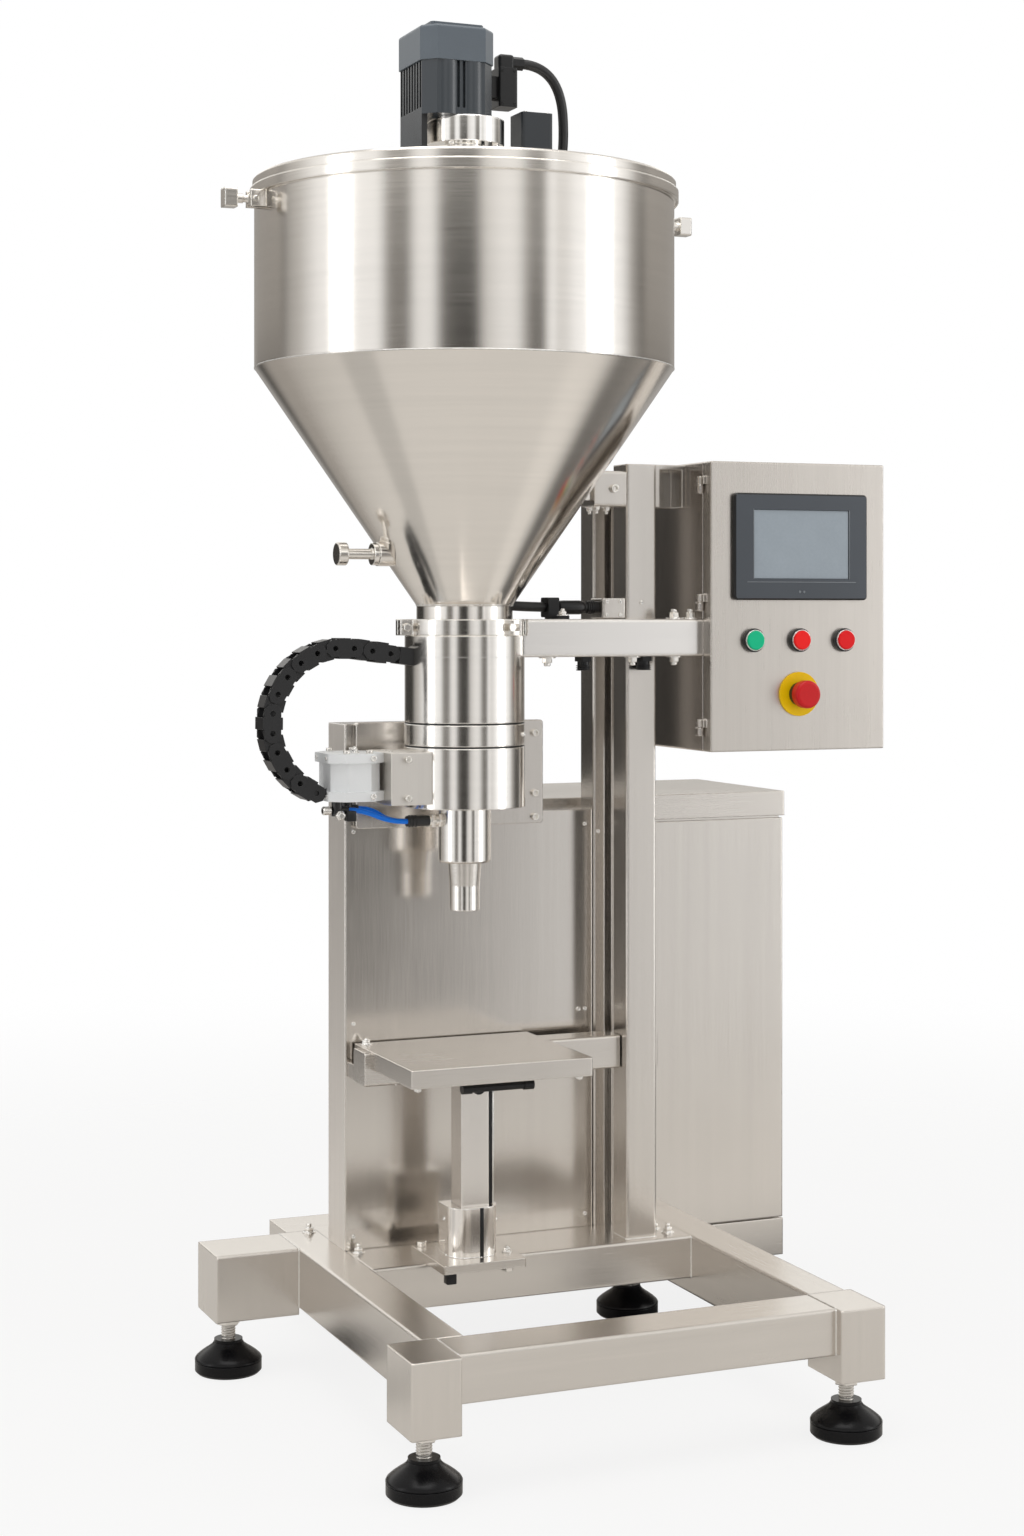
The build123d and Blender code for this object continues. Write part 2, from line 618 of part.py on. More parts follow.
def hopper_lid():
    """Lid plate with bushes for the shafts, and the gear pan under it."""
    edge = RIM_R - LID_STEP
    lid = turned([(0, HOPPER_TOP), (edge, HOPPER_TOP), (edge, LID_TOP - LID_BEVEL),
                  (edge - LID_BEVEL, LID_TOP), (0, LID_TOP)])
    lid -= rod(SHAFT_R + RUN_FIT, (0, 0, HOPPER_TOP - 1), (0, 0, LID_TOP + 1))
    pinion = (GEAR_CENTRES, 0)
    lid -= rod(PINION_SHAFT_R + RUN_FIT, (*pinion, HOPPER_TOP - 1), (*pinion, LID_TOP + 1))
    bottom = HOPPER_TOP - PAN_H
    pan_hole = HUB_R + SLIDE_GAP
    pan = turned([(pan_hole, bottom), (PAN_R, bottom), (PAN_R, HOPPER_TOP), (PAN_R - PAN_T, HOPPER_TOP),
                  (PAN_R - PAN_T, bottom + PAN_T), (pan_hole, bottom + PAN_T)])
    add("hopper_lid", lid, pan)


def gear(teeth, bore, low, high, turn=0.0):
    """A spur gear with straight-flanked teeth, cut from a formula for each tooth."""
    pitch_r = GEAR_MODULE * teeth / 2
    tip_r = pitch_r + 0.85 * GEAR_MODULE
    root_r = pitch_r - 1.15 * GEAR_MODULE
    share = pi / teeth * (1 - GEAR_PLAY)
    points = []
    for tooth in range(teeth):
        middle = 2 * pi * tooth / teeth + radians(turn)
        for radius, spread in ((root_r, -0.82), (tip_r, -0.24), (tip_r, 0.24), (root_r, 0.82)):
            angle = middle + spread * share
            points.append((radius * cos(angle), radius * sin(angle)))
    face = make_face(Polyline(*points, close=True)) - Circle(bore)
    return extrude(Plane.XY.offset(low) * face, amount=high - low)


def agitator():
    """Hollow shaft round the auger with a gear on top and two blades along the cone."""
    gear_low = GEAR_TOP - GEAR_H
    hub_bottom = NECK_TOP + 70
    bore = rod(SHAFT_R + RUN_FIT, (0, 0, hub_bottom - 1), (0, 0, GEAR_TOP + 1))
    hub = rod(HUB_R, (0, 0, hub_bottom), (0, 0, GEAR_TOP)) - bore
    low = NECK_TOP + 50
    high = HOPPER_SHOULDER - 8
    slope = (HOPPER_R - NECK_R) / CONE_RISE
    off = (HOPPER_WALL + BLADE_CLEAR) * sqrt(1 + slope * slope)

    def edge(height, inset):
        return cone_radius(height) - off - inset

    arm_low = hub_bottom + 24
    arm_high = high - 24
    outline = [(edge(low, 0), low), (edge(high, 0), high), (0, high), (0, arm_high),
               (edge(arm_high, BLADE_W), arm_high), (edge(arm_low + BLADE_W, BLADE_W), arm_low + BLADE_W),
               (0, arm_low + BLADE_W), (0, arm_low), (edge(arm_low, BLADE_W), arm_low),
               (edge(low, BLADE_W), low)]
    blade = extrude(Plane.XZ.offset(-BLADE_T / 2) * make_face(Polyline(*outline, close=True)), amount=BLADE_T)
    core = rod(HUB_R - 1, (0, 0, hub_bottom - 60), (0, 0, GEAR_TOP))
    blades = blade - core
    other = Rot(0, 0, 180) * blades
    add("agitator", hub + blades + other)
    add("agitator_gear", gear(GEAR_TEETH, HUB_R + SEAM, gear_low, GEAR_TOP))
    pinion = gear(PINION_TEETH, PINION_SHAFT_R - 1, gear_low, GEAR_TOP, 180 / PINION_TEETH + 180)
    shaft = rod(PINION_SHAFT_R, (0, 0, gear_low), (0, 0, LID_TOP + SPIGOT_H / 2))
    add("agitator_pinion", Pos(GEAR_CENTRES, 0, 0) * (pinion + shaft))


def auger():
    """Auger screw: a shaft from the motor down to the nozzle, with its helical flight."""
    low = NOZZLE_TIP + 6
    shaft = rod(SHAFT_R, (0, 0, low), (0, 0, FLANGE_BOTTOM + FLANGE_H / 2))
    width = FLIGHT_R - SHAFT_R + 1
    path = Helix(FLIGHT_PITCH, FLIGHT_PITCH * FLIGHT_TURNS, FLIGHT_R - width / 2)
    section = Plane(origin=path @ 0, x_dir=(1, 0, 0), z_dir=path % 0) * Rectangle(width, FLIGHT_T)
    flight = Pos(0, 0, low + FLIGHT_T) * sweep(section, path=path, is_frenet=True)
    add("auger_screw", shaft + flight)


def drums():
    """Neck clamp, auger drum, ring, gate drum, nozzle socket and fill nozzle."""
    wall = DRUM_WALL
    clamp_low = DRUM_TOP
    ring = turned([(NECK_R + SEAM, clamp_low), (CLAMP_R, clamp_low), (CLAMP_R, clamp_low + CLAMP_H),
                   (NECK_R + SEAM, clamp_low + CLAMP_H)])
    lugs = []
    for angle in CLAMP_ANGLES:
        lug = block((NECK_R + SEAM + 4, CLAMP_R + CLAMP_LUG), around(0, CLAMP_LUG_W),
                    (clamp_low, clamp_low + CLAMP_H))
        slot = block((NECK_R - 4, CLAMP_R + CLAMP_LUG + 1), around(0, CLAMP_SLOT),
                     (clamp_low - 1, clamp_low + CLAMP_H + 1))
        lugs.append((Rot(0, 0, angle) * soft_edges(lug, Axis.Z, 2), Rot(0, 0, angle) * slot))
    for lug, _ in lugs:
        ring += lug
    for _, slot in lugs:
        ring -= slot
    add("neck_clamp", *ring.solids())
    for angle in CLAMP_ANGLES:
        for side in (-1, 1):
            across = (-side * sin(radians(angle)), side * cos(radians(angle)), 0)
            seat = Vector(cos(radians(angle)), sin(radians(angle)), 0) * (CLAMP_R + CLAMP_LUG / 2)
            seat += Vector(*across) * CLAMP_LUG_W / 2
            add("hex_fasteners", bolt(9, 5, tuple(seat + Vector(0, 0, clamp_low + CLAMP_H / 2)), across))

    throat = NECK_R - HOPPER_WALL
    mid_r = 42.0
    add("auger_drum", turned([
        (throat, DRUM_TOP), (DRUM_R, DRUM_TOP), (DRUM_R, DRUM_BOTTOM), (DRUM_R - wall, DRUM_BOTTOM),
        (DRUM_R - wall, DRUM_TOP - wall), (throat + wall, DRUM_TOP - wall), (mid_r + wall, DRUM_BOTTOM),
        (mid_r, DRUM_BOTTOM)]))
    inner = mid_r + wall + 2
    groove_r = RING_R - 3
    add("drum_ring", turned([
        (inner, DRUM_BOTTOM), (groove_r, DRUM_BOTTOM), (groove_r, RING_TOP), (RING_R, RING_TOP),
        (RING_R, RING_BOTTOM), (groove_r, RING_BOTTOM), (groove_r, GATE_TOP), (inner, GATE_TOP)]))
    add("gate_drum", turned([
        (NOZZLE_BORE, GATE_BOTTOM), (GATE_R, GATE_BOTTOM), (GATE_R, GATE_TOP), (GATE_R - wall, GATE_TOP),
        (GATE_R - wall, GATE_BOTTOM + 2 * wall), (NOZZLE_BORE + 3 * wall, GATE_BOTTOM + 2 * wall),
        (mid_r + wall, DRUM_BOTTOM - SEAM), (mid_r, DRUM_BOTTOM - SEAM), (NOZZLE_BORE, GATE_BOTTOM + wall)]))
    shelf = SOCKET_BOTTOM + NOZZLE_IN
    add("nozzle_socket", turned([
        (NOZZLE_BORE, GATE_BOTTOM), (SOCKET_R, GATE_BOTTOM), (SOCKET_R, SOCKET_BOTTOM + 2),
        (SOCKET_R - 2, SOCKET_BOTTOM), (NOZZLE_R + SEAM, SOCKET_BOTTOM), (NOZZLE_R + SEAM, shelf),
        (NOZZLE_BORE, shelf)]))
    taper = NOZZLE_TIP + NOZZLE_TIP_L
    add("fill_nozzle", turned([
        (NOZZLE_BORE, NOZZLE_TIP), (NOZZLE_TIP_R, NOZZLE_TIP), (NOZZLE_TIP_R, taper),
        (NOZZLE_R, SOCKET_BOTTOM), (NOZZLE_R, shelf), (NOZZLE_BORE, shelf)]))


def drum_plate():
    """Plate on the panel that carries the drums through a saddle block."""
    x = (PANEL_LEFT + DRUM_PLATE_EDGE, PANEL_STEP_X)
    z = (GATE_BOTTOM - DRUM_PLATE_BELOW, PANEL_TOP + 2)
    face = PANEL_FRONT - DRUM_PLATE_T
    plate = soft_edges(block(x, (face, PANEL_FRONT), z), Axis.Y, 4)
    core = rod(GATE_R + SEAM, (0, 0, z[0] - 1), (0, 0, z[1] + 1))
    saddle = block(around(0, SADDLE_W), (SADDLE_FRONT, face), (GATE_BOTTOM + 4, GATE_TOP - 4)) - core
    add("drum_plate", plate + saddle)
    for up in DRUM_PLATE_SCREWS:
        add("socket_screws", screw(4.5, 5, (x[1] - DRUM_PLATE_EDGE, face, z[0] + up), (0, -1, 0)))


def support_arm():
    """Square tube from the drum past the front post to the control box."""
    core = rod(DRUM_R + SEAM, (0, 0, ARM_BOTTOM - 1), (0, 0, ARM_TOP + 1))
    arm = tube((ARM_START, BOX_LEFT), (ARM_FRONT, POST_Y), (ARM_BOTTOM, ARM_TOP), "X",
               high_cap=POST_WALL, wall=POST_WALL)
    add("support_arm", arm - core)
    for x in ARM_BOLTS_BELOW:
        add("hex_fasteners", bolt(11, 7, (x, ARM_FRONT + 12, ARM_BOTTOM), (0, 0, -1)))
    for x in ARM_BOLTS_ABOVE:
        add("hex_fasteners", bolt(11, 8, (x, ARM_FRONT + 12, ARM_TOP), (0, 0, 1)))


def post_brackets():
    """Hopper stay, junction box, ties between the posts, box bracket and cabinet gusset."""
    post_right = POST_X + POST
    stay_y = (POST_Y, POST_Y + STAY_D)
    add("post_brackets", tube((STAY_X, POST_X), stay_y, STAY_Z, "X", low_cap=3.0, wall=3.0))
    tie_x = (POST_X + 2, REAR_POST_X + POST - 2)
    for z in ((ARM_BOTTOM, ARM_TOP), STAY_Z):
        add("post_brackets", block(tie_x, (POST_Y + POST, REAR_POST_Y), z))
    bracket_z = (BRACKET_TOP - BRACKET_H, BRACKET_TOP)
    bracket = block((post_right, BOX_LEFT), (POST_Y + 2, POST_Y + POST - 2), bracket_z)
    bracket -= block((post_right + BRACKET_T, BOX_LEFT - BRACKET_T),
                     (POST_Y + 1, POST_Y + POST - 2 - BRACKET_T),
                     (bracket_z[0] - 1, bracket_z[1] - BRACKET_T))
    add("post_brackets", bracket)
    gusset_x = (post_right, post_right + GUSSET_W)
    gusset_y = (PANEL_BACK - GUSSET_T, PANEL_BACK)
    gusset_z = (FRAME_TOP, FRAME_TOP + GUSSET_H)
    gusset = block(gusset_x, gusset_y, gusset_z)
    add("post_brackets", soft_edges(gusset, Axis.Y, 3))
    junction = block((JUNCTION_X, POST_X), (POST_Y + 1, POST_Y + 1 + JUNCTION_D),
                     (ARM_TOP + 1, ARM_TOP + 1 + JUNCTION_H))
    add("post_brackets", soft_edges(junction, Axis.Z, 3))
    add("post_brackets", block((post_right, gusset_x[1]), (gusset_y[0] - GUSSET_T, gusset_y[0]),
                               (gusset_z[1] - GUSSET_COVER_H, gusset_z[1])))
    for z in (gusset_z[0] + GUSSET_SCREW_IN, gusset_z[1] - 2 * GUSSET_SCREW_IN):
        seat = gusset_y[0] - (GUSSET_T if z > gusset_z[1] - GUSSET_COVER_H else 0)
        add("socket_screws", screw(4.5, 5, (gusset_x[1] - GUSSET_SCREW_IN, seat, z), (0, -1, 0)))
    add("socket_screws", screw(5, 5, (STAY_X + 26, stay_y[0], sum(STAY_Z) / 2), (0, -1, 0)))


def motors():
    """Offset gearmotor on its flange, and the agitator motor with its connector box."""
    cx, cy = MOTOR_SHIFT
    top = MOTOR_BOTTOM + MOTOR_BODY_H

    def footprint(inset=0.0):
        face = Rectangle(MOTOR_X - 2 * inset, MOTOR_Y - 2 * inset)
        return Pos(cx, cy) * chamfer(face.vertices(), MOTOR_CHAMFER - inset)

    body = extrude(Plane.XY.offset(MOTOR_BOTTOM) * footprint(MOTOR_INSET), amount=MOTOR_BODY_H)
    pitch = (MOTOR_Y - 2 * MOTOR_CHAMFER) / FIN_COUNT
    side_z = (MOTOR_BOTTOM + FIN_FOOT, top + 1)
    for side in (-1, 1):
        face_y = cy + side * (MOTOR_Y / 2 - MOTOR_INSET)
        rib_y = face_y + side * (MOTOR_INSET - RIB_R)
        for rib_x in (cx - RIB_OFF, cx + RIB_OFF):
            body += rod(RIB_R, (rib_x, rib_y, MOTOR_BOTTOM), (rib_x, rib_y, top))
        for slot_x in (cx - RIB_SLOT_W, cx + RIB_SLOT_W):
            slot_y = sorted((face_y + side * RIB_R, face_y - side * RIB_SLOT_DEPTH))
            body -= block(around(slot_x, RIB_SLOT_W), slot_y, side_z)
        face_x = cx + side * (MOTOR_X / 2 - MOTOR_INSET)
        for index in range(FIN_COUNT):
            y = cy - (FIN_COUNT - 1) * pitch / 2 + index * pitch
            body -= block(sorted((face_x + side, face_x - side * FIN_DEPTH)), around(y, pitch / 2), side_z)
    skirt_x = (cx - MOTOR_X / 2 + MOTOR_INSET, cx - MOTOR_X / 2 + MOTOR_INSET + SKIRT_T)
    body += block(skirt_x, around(cy, MOTOR_Y - 2 * MOTOR_CHAMFER), (LID_TOP + SLIDE_GAP, MOTOR_BOTTOM))
    cap = extrude(Plane.XY.offset(top) * footprint(), amount=MOTOR_CAP_H)
    cap = fillet(cap.faces().sort_by(Axis.Z)[-1].edges(), 4)
    cap += extrude(Plane.XY.offset(top + MOTOR_CAP_H) * footprint(TIER_IN), amount=TIER_H)
    add("auger_motor", body, cap)
    flange = rod(FLANGE_R, (0, 0, FLANGE_BOTTOM), (0, 0, MOTOR_BOTTOM))
    spigot = rod(SPIGOT_R, (0, 0, LID_TOP), (0, 0, FLANGE_BOTTOM))
    hole = rod(SHAFT_R + RUN_FIT, (0, 0, LID_TOP - 1), (0, 0, FLANGE_BOTTOM + FLANGE_H / 2 + 1))
    add("motor_flange", flange + spigot - hole)
    agitator_x = around(GEAR_CENTRES, AGITATOR_MOTOR_W)
    agitator_z = (LID_TOP, LID_TOP + AGITATOR_MOTOR_H)
    case = soft_edges(block(agitator_x, around(0, AGITATOR_MOTOR_W), agitator_z), Axis.Z, 4)
    case -= rod(PINION_SHAFT_R + RUN_FIT, (GEAR_CENTRES, 0, LID_TOP - 1),
                (GEAR_CENTRES, 0, LID_TOP + SPIGOT_H / 2 + 1))
    add("agitator_motor", case)
    neck_l, neck_d, neck_h = CONNECTOR_NECK
    connector_y = around(CONNECTOR_Y, CONNECTOR_D)
    connector = soft_edges(block(CONNECTOR_X, connector_y, (CONNECTOR_BOTTOM, CONNECTOR_TOP)), Axis.Z, 3)
    connector += block((CONNECTOR_X[0] - neck_l, sum(CONNECTOR_X) / 2), around(CONNECTOR_Y, neck_d),
                       around((CONNECTOR_BOTTOM + CONNECTOR_TOP) / 2, neck_h))
    add("motor_connector", connector)
    elbow_x = around(sum(CONNECTOR_X) / 2, ELBOW_W)
    elbow = block(elbow_x, around(CONNECTOR_Y, ELBOW_W), (CONNECTOR_TOP, CONNECTOR_TOP + ELBOW_H))
    elbow = fillet(elbow.edges().filter_by(Axis.Z) + elbow.edges().group_by(Axis.Z)[-1], 4)
    exit_z = CONNECTOR_TOP + ELBOW_H / 2
    elbow += hexagon(ELBOW_H - 3, (sum(elbow_x) / 2, CONNECTOR_Y, exit_z),
                     (elbow_x[1] + GLAND_L, CONNECTOR_Y, exit_z))
    add("cable_glands", elbow)


def lead_path(points, widest):
    """A path of straight runs and tangent arcs, each arc as large as its runs allow."""
    runs = [Vector(*end) - Vector(*start) for start, end in zip(points, points[1:])]
    room = [0.45 * run.length for run in runs]
    room[0] *= 2
    room[-1] *= 2
    radii = []
    for index, (before, after) in enumerate(zip(runs, runs[1:])):
        turn = before.get_angle(after)
        radii.append(min(min(room[index], room[index + 1]) / tan(radians(turn) / 2), widest))
    return FilletPolyline(*points, radius=radii)


def lead(path, radius):
    """A round lead or tube along a path."""
    return sweep(Plane(origin=path @ 0, z_dir=path % 0) * Circle(radius), path=path)


def motor_cable():
    """Motor lead: out of the connector, over the lid and down behind the hopper to the junction box."""
    z = CONNECTOR_TOP + ELBOW_H / 2
    x = sum(CONNECTOR_X) / 2 + ELBOW_W / 2 + GLAND_L
    y = CONNECTOR_Y
    over = LID_TOP + CABLE_R + 2
    out = RIM_R + CABLE_R + 22
    end_y = POST_Y + 18
    end_z = ARM_TOP + CABLE_R + 8
    points = [(x, y, z), (x + 50, y, z), (x + 62, y + 12, over + 24), (x + 54, 96, over + 2),
              (x + 42, 170, over + 2), (out * cos(radians(62)), out * sin(radians(62)), over + 14),
              (out * cos(radians(63)), out * sin(radians(63)), HOPPER_SHOULDER),
              (62, 130, NECK_TOP + 60), (52, 66, NECK_TOP + 6), (70, end_y, end_z),
              (JUNCTION_X - GLAND_L, end_y, end_z)]
    add("motor_cable", lead(lead_path(points, CABLE_BEND), CABLE_R))
    add("cable_glands", rod(GLAND_R - 1, points[-1], (JUNCTION_X, end_y, end_z)))
    clip_x = around(CLIP_X, CLIP_W)
    clip = block(clip_x, around(end_y, CLIP_H), around(end_z, CLIP_H))
    clip = soft_edges(clip, Axis.X, 3)
    clip += block(clip_x, (POST_Y - CLIP_H, end_y), (ARM_TOP, ARM_TOP + CLIP_FOOT_T))
    clip -= rod(CABLE_R + SEAM, (clip_x[0] - 1, end_y, end_z), (clip_x[1] + 1, end_y, end_z))
    add("cable_glands", clip)


def arm_glands():
    """Two cable glands that hang under the arm on either side of the post."""
    for x in ARM_GLAND_XS:
        spot = (x, POST_Y - 14)
        add("cable_glands", hexagon(20, (*spot, ARM_BOTTOM), (*spot, ARM_BOTTOM - 6)) +
            rod(7.5, (*spot, ARM_BOTTOM), (*spot, ARM_BOTTOM - 17)))


def control_box():
    """Box shell, controller on its back wall, and hinge leaves."""
    x = (BOX_LEFT, BOX_LEFT + BOX_W)
    y = (BOX_FRONT + DOOR_GAP, BOX_FRONT + BOX_D)
    z = (BOX_BOTTOM, BOX_BOTTOM + BOX_H)
    shell = soft_edges(block(x, y, z), Axis.Y, SHEET)
    shell -= block((x[0] + SHEET, x[1] - SHEET), (y[0] - 1, y[1] - SHEET), (z[0] + SHEET, z[1] - SHEET))
    add("control_box", shell)
    for height in HINGE_HEIGHTS:
        low = (*HINGE_AXIS, height - HINGE_L / 2)
        mid = (*HINGE_AXIS, height)
        leaf = rod(HINGE_R, low, mid)
        leaf += block((HINGE_AXIS[0] - 1, BOX_LEFT), (BOX_FRONT + DOOR_GAP, BOX_FRONT + 12), (low[2], height))
        pin = rod(HINGE_R / 2, mid, (*HINGE_AXIS, height + HINGE_L / 2 - 3))
        add("control_box", leaf + pin)
    back = y[1] - SHEET
    plate_x = (x[0] + MOUNT_INSET, x[1] - MOUNT_INSET)
    plate_z = (z[0] + MOUNT_INSET, z[1] - MOUNT_INSET)
    face = back - MOUNT_T
    supply_x = (plate_x[1] - MOUNT_EDGE - SUPPLY_W, plate_x[1] - MOUNT_EDGE)
    controller_x = (plate_x[0] + MOUNT_EDGE, supply_x[0] - MOUNT_EDGE)
    unit_z = (plate_z[1] - MOUNT_EDGE - CONTROLLER_H, plate_z[1] - MOUNT_EDGE)
    strip_z = (plate_z[0] + MOUNT_INSET, plate_z[0] + MOUNT_INSET + TERMINAL_H)
    add("controller_unit", block(plate_x, (face, back), plate_z),
        soft_edges(block(controller_x, (face - CONTROLLER_D, face), unit_z), Axis.Z, 3),
        soft_edges(block(supply_x, (face - SUPPLY_D, face), unit_z), Axis.Z, 3),
        block((plate_x[0] + MOUNT_EDGE, plate_x[1] - MOUNT_EDGE), (face - TERMINAL_D, face), strip_z))


def control_door():
    """Folded door with the operator panel and the push buttons."""
    x = (BOX_LEFT, BOX_LEFT + BOX_W)
    y = (DOOR_FRONT, BOX_FRONT)
    z = (BOX_BOTTOM, BOX_BOTTOM + BOX_H)
    door = soft_edges(block(x, y, z), Axis.Y, SHEET)
    door = fillet(door.faces().sort_by(Axis.Y)[0].edges(), 1.2)
    door -= block((x[0] + SHEET, x[1] - SHEET), (y[0] + SHEET, y[1] + 1), (z[0] + SHEET, z[1] - SHEET))
    hmi_x, hmi_z = HMI_CENTRE
    cut_w = HMI_W - 2 * HMI_EDGE
    cut_h = HMI_H - 2 * HMI_EDGE
    door -= block(around(hmi_x, cut_w), (y[0] - 1, y[0] + SHEET + 1), around(hmi_z, cut_h))
    spots = [(button_x, BUTTON_Z) for button_x in BUTTON_XS] + [(ESTOP_X, ESTOP_Z)]
    for spot_x, spot_z in spots:
        door -= rod(BUTTON_HOLE_R, (spot_x, y[0] - 1, spot_z), (spot_x, y[0] + SHEET + 1, spot_z))
    add("control_door", door)
    for height in HINGE_HEIGHTS:
        low = (*HINGE_AXIS, height + SLIDE_GAP)
        high = (*HINGE_AXIS, height + HINGE_L / 2)
        leaf = rod(HINGE_R, low, high)
        leaf += block((HINGE_AXIS[0] - 1, BOX_LEFT), (BOX_FRONT - 10, BOX_FRONT), (low[2], high[2]))
        leaf -= rod(HINGE_R / 2 + RUN_FIT, (*HINGE_AXIS, height), (*HINGE_AXIS, high[2] - 2))
        add("control_door", leaf)

    front = DOOR_FRONT - HMI_PROUD
    bezel = block(around(hmi_x, HMI_W), (front, DOOR_FRONT), around(hmi_z, HMI_H))
    bezel = soft_edges(bezel, Axis.Y, 5)
    bezel = chamfer(bezel.faces().sort_by(Axis.Y)[0].edges(), 2)
    bezel += block(around(hmi_x, cut_w - 1), (DOOR_FRONT, DOOR_FRONT + HMI_DEPTH), around(hmi_z, cut_h - 1))
    window_z = hmi_z + 3
    bezel -= block(around(hmi_x, SCREEN_W), (front - 1, front + 3), around(window_z, SCREEN_H))
    add("hmi_bezel", bezel)
    screen = block(around(hmi_x, SCREEN_W - 0.4), (front + 1.2, front + 3), around(window_z, SCREEN_H - 0.4))
    add("hmi_screen", screen)


def push_buttons():
    """Three push buttons and the emergency stop, each in its collar."""
    face = DOOR_FRONT
    for name, x in zip(("start_button", "stop_button", "reset_button"), BUTTON_XS):
        def at(y):
            return (x, y, BUTTON_Z)

        stem_r = 7.0
        bezel_top = face - BUTTON_BEZEL_H
        collar = rod(BUTTON_BEZEL_R, at(face), at(bezel_top))
        collar += rod(BUTTON_HOLE_R - SEAM, at(face), at(face + BUTTON_DEPTH))
        collar -= rod(BUTTON_CAP_R + SLIDE_GAP, at(bezel_top - 1), at(bezel_top + 3))
        collar -= rod(stem_r + RUN_FIT, at(bezel_top - 1), at(face + BUTTON_DEPTH + 1))
        add("button_collars", collar)
        cap = rod(BUTTON_CAP_R, at(bezel_top - BUTTON_TRAVEL - 1.5), at(bezel_top + 2.5 - BUTTON_TRAVEL))
        cap = fillet(cap.edges().sort_by(Axis.Y)[0], 1.5)
        add(name, cap + rod(stem_r, at(bezel_top - BUTTON_TRAVEL), at(face + 20)))

    def spot(y):
        return (ESTOP_X, y, ESTOP_Z)

    plate_t = 2.5
    plate = rod(ESTOP_PLATE_R, spot(face), spot(face - plate_t))
    plate -= rod(BUTTON_HOLE_R, spot(face + 1), spot(face - plate_t - 1))
    add("estop_plate", plate)
    stem_r = 8.0
    collar_top = face - plate_t - ESTOP_COLLAR_H
    collar = rod(BUTTON_HOLE_R - SEAM, spot(face + ESTOP_DEPTH), spot(face - plate_t))
    collar += rod(BUTTON_BEZEL_R, spot(face - plate_t), spot(collar_top))
    add("button_collars", collar - rod(stem_r + RUN_FIT, spot(face + ESTOP_DEPTH + 1), spot(collar_top - 1)))
    head_back = collar_top - ESTOP_TRAVEL - SLIDE_GAP
    head = rod(ESTOP_HEAD_R, spot(head_back), spot(head_back - 13))
    head = fillet(head.edges().sort_by(Axis.Y)[0], 4)
    add("estop_head", head + rod(stem_r, spot(head_back), spot(face + 22)))


def actuator():
    """Pneumatic vibrator block on the gate drum, its bracket, fittings and air tubes."""
    def octagon(inset, low, high):
        x, y = ACTUATOR_X, ACTUATOR_Y
        face = Rectangle(x[1] - x[0] - 2 * inset, y[1] - y[0] - 2 * inset)
        face = chamfer(face.vertices(), 16)
        return extrude(Plane.XY.offset(low) * Pos(sum(x) / 2, sum(y) / 2) * face, amount=high - low)

    low, high = ACTUATOR_Z
    body_low, body_high = low + ACTUATOR_PLATE_H, high - ACTUATOR_PLATE_H
    add("actuator_body", octagon(0, low, body_low), octagon(4, body_low, body_high),
        octagon(0, body_high, high))
    core = rod(GATE_R + SEAM, (0, 0, low - 20), (0, 0, high + 20))
    z = (GATE_BOTTOM + 6, GATE_TOP - 4)
    arm = block((ACTUATOR_X[1], -40), (-44, 36), z) - core
    arm -= block((ACTUATOR_X[1] + 8, -40), (-36, 28), (z[0] + 8, z[1] - 8))
    add("actuator_bracket", arm)
    for height in (z[0] + 8, z[1] - 8):
        add("socket_screws", screw(4.0, 5, (ACTUATOR_X[1] + 20, -44, height), (0, -1, 0)))
    for x in (ACTUATOR_X[0] + 20, ACTUATOR_X[1] - 20):
        for y in (ACTUATOR_Y[0] + 10, ACTUATOR_Y[1] - 10):
            add("socket_screws", screw(4.0, 4, (x, y, high), (0, 0, 1)))


def air_lines():
    """Two air tubes from under the actuator to the purge fitting on the nozzle socket."""
    low = ACTUATOR_Z[0]
    port_z = SOCKET_BOTTOM + 50
    port = -SOCKET_R
    body = rod(7, (port - 14, 0, port_z), (port + 6, 0, port_z))
    body -= rod(SOCKET_R + SEAM, (0, 0, SOCKET_BOTTOM), (0, 0, GATE_BOTTOM))
    add("air_fittings", body)
    sleeve_end = port - 42
    add("air_fittings", rod(2 * AIR_R + 0.4, (sleeve_end, 0, port_z), (port - 14, 0, port_z)))
    elbow_z = low - 11
    for x, side in ((ACTUATOR_X[0] + 14, -1), (ACTUATOR_X[0] + 32, 1)):
        start = (x + 13, 9 * side, elbow_z)
        elbow = rod(AIR_FITTING_R, (x, 9 * side, low), (x, 9 * side, elbow_z - AIR_FITTING_R))
        add("air_fittings", elbow + rod(AIR_R + 2, (x, 9 * side, elbow_z), start))
        end_y = side * (AIR_R + 0.1)
        points = [start, (start[0] + 16, start[1], elbow_z), (sleeve_end - 20, end_y, port_z),
                  (sleeve_end, end_y, port_z)]
        add("air_tubes", lead(lead_path(points, 60.0), AIR_R))


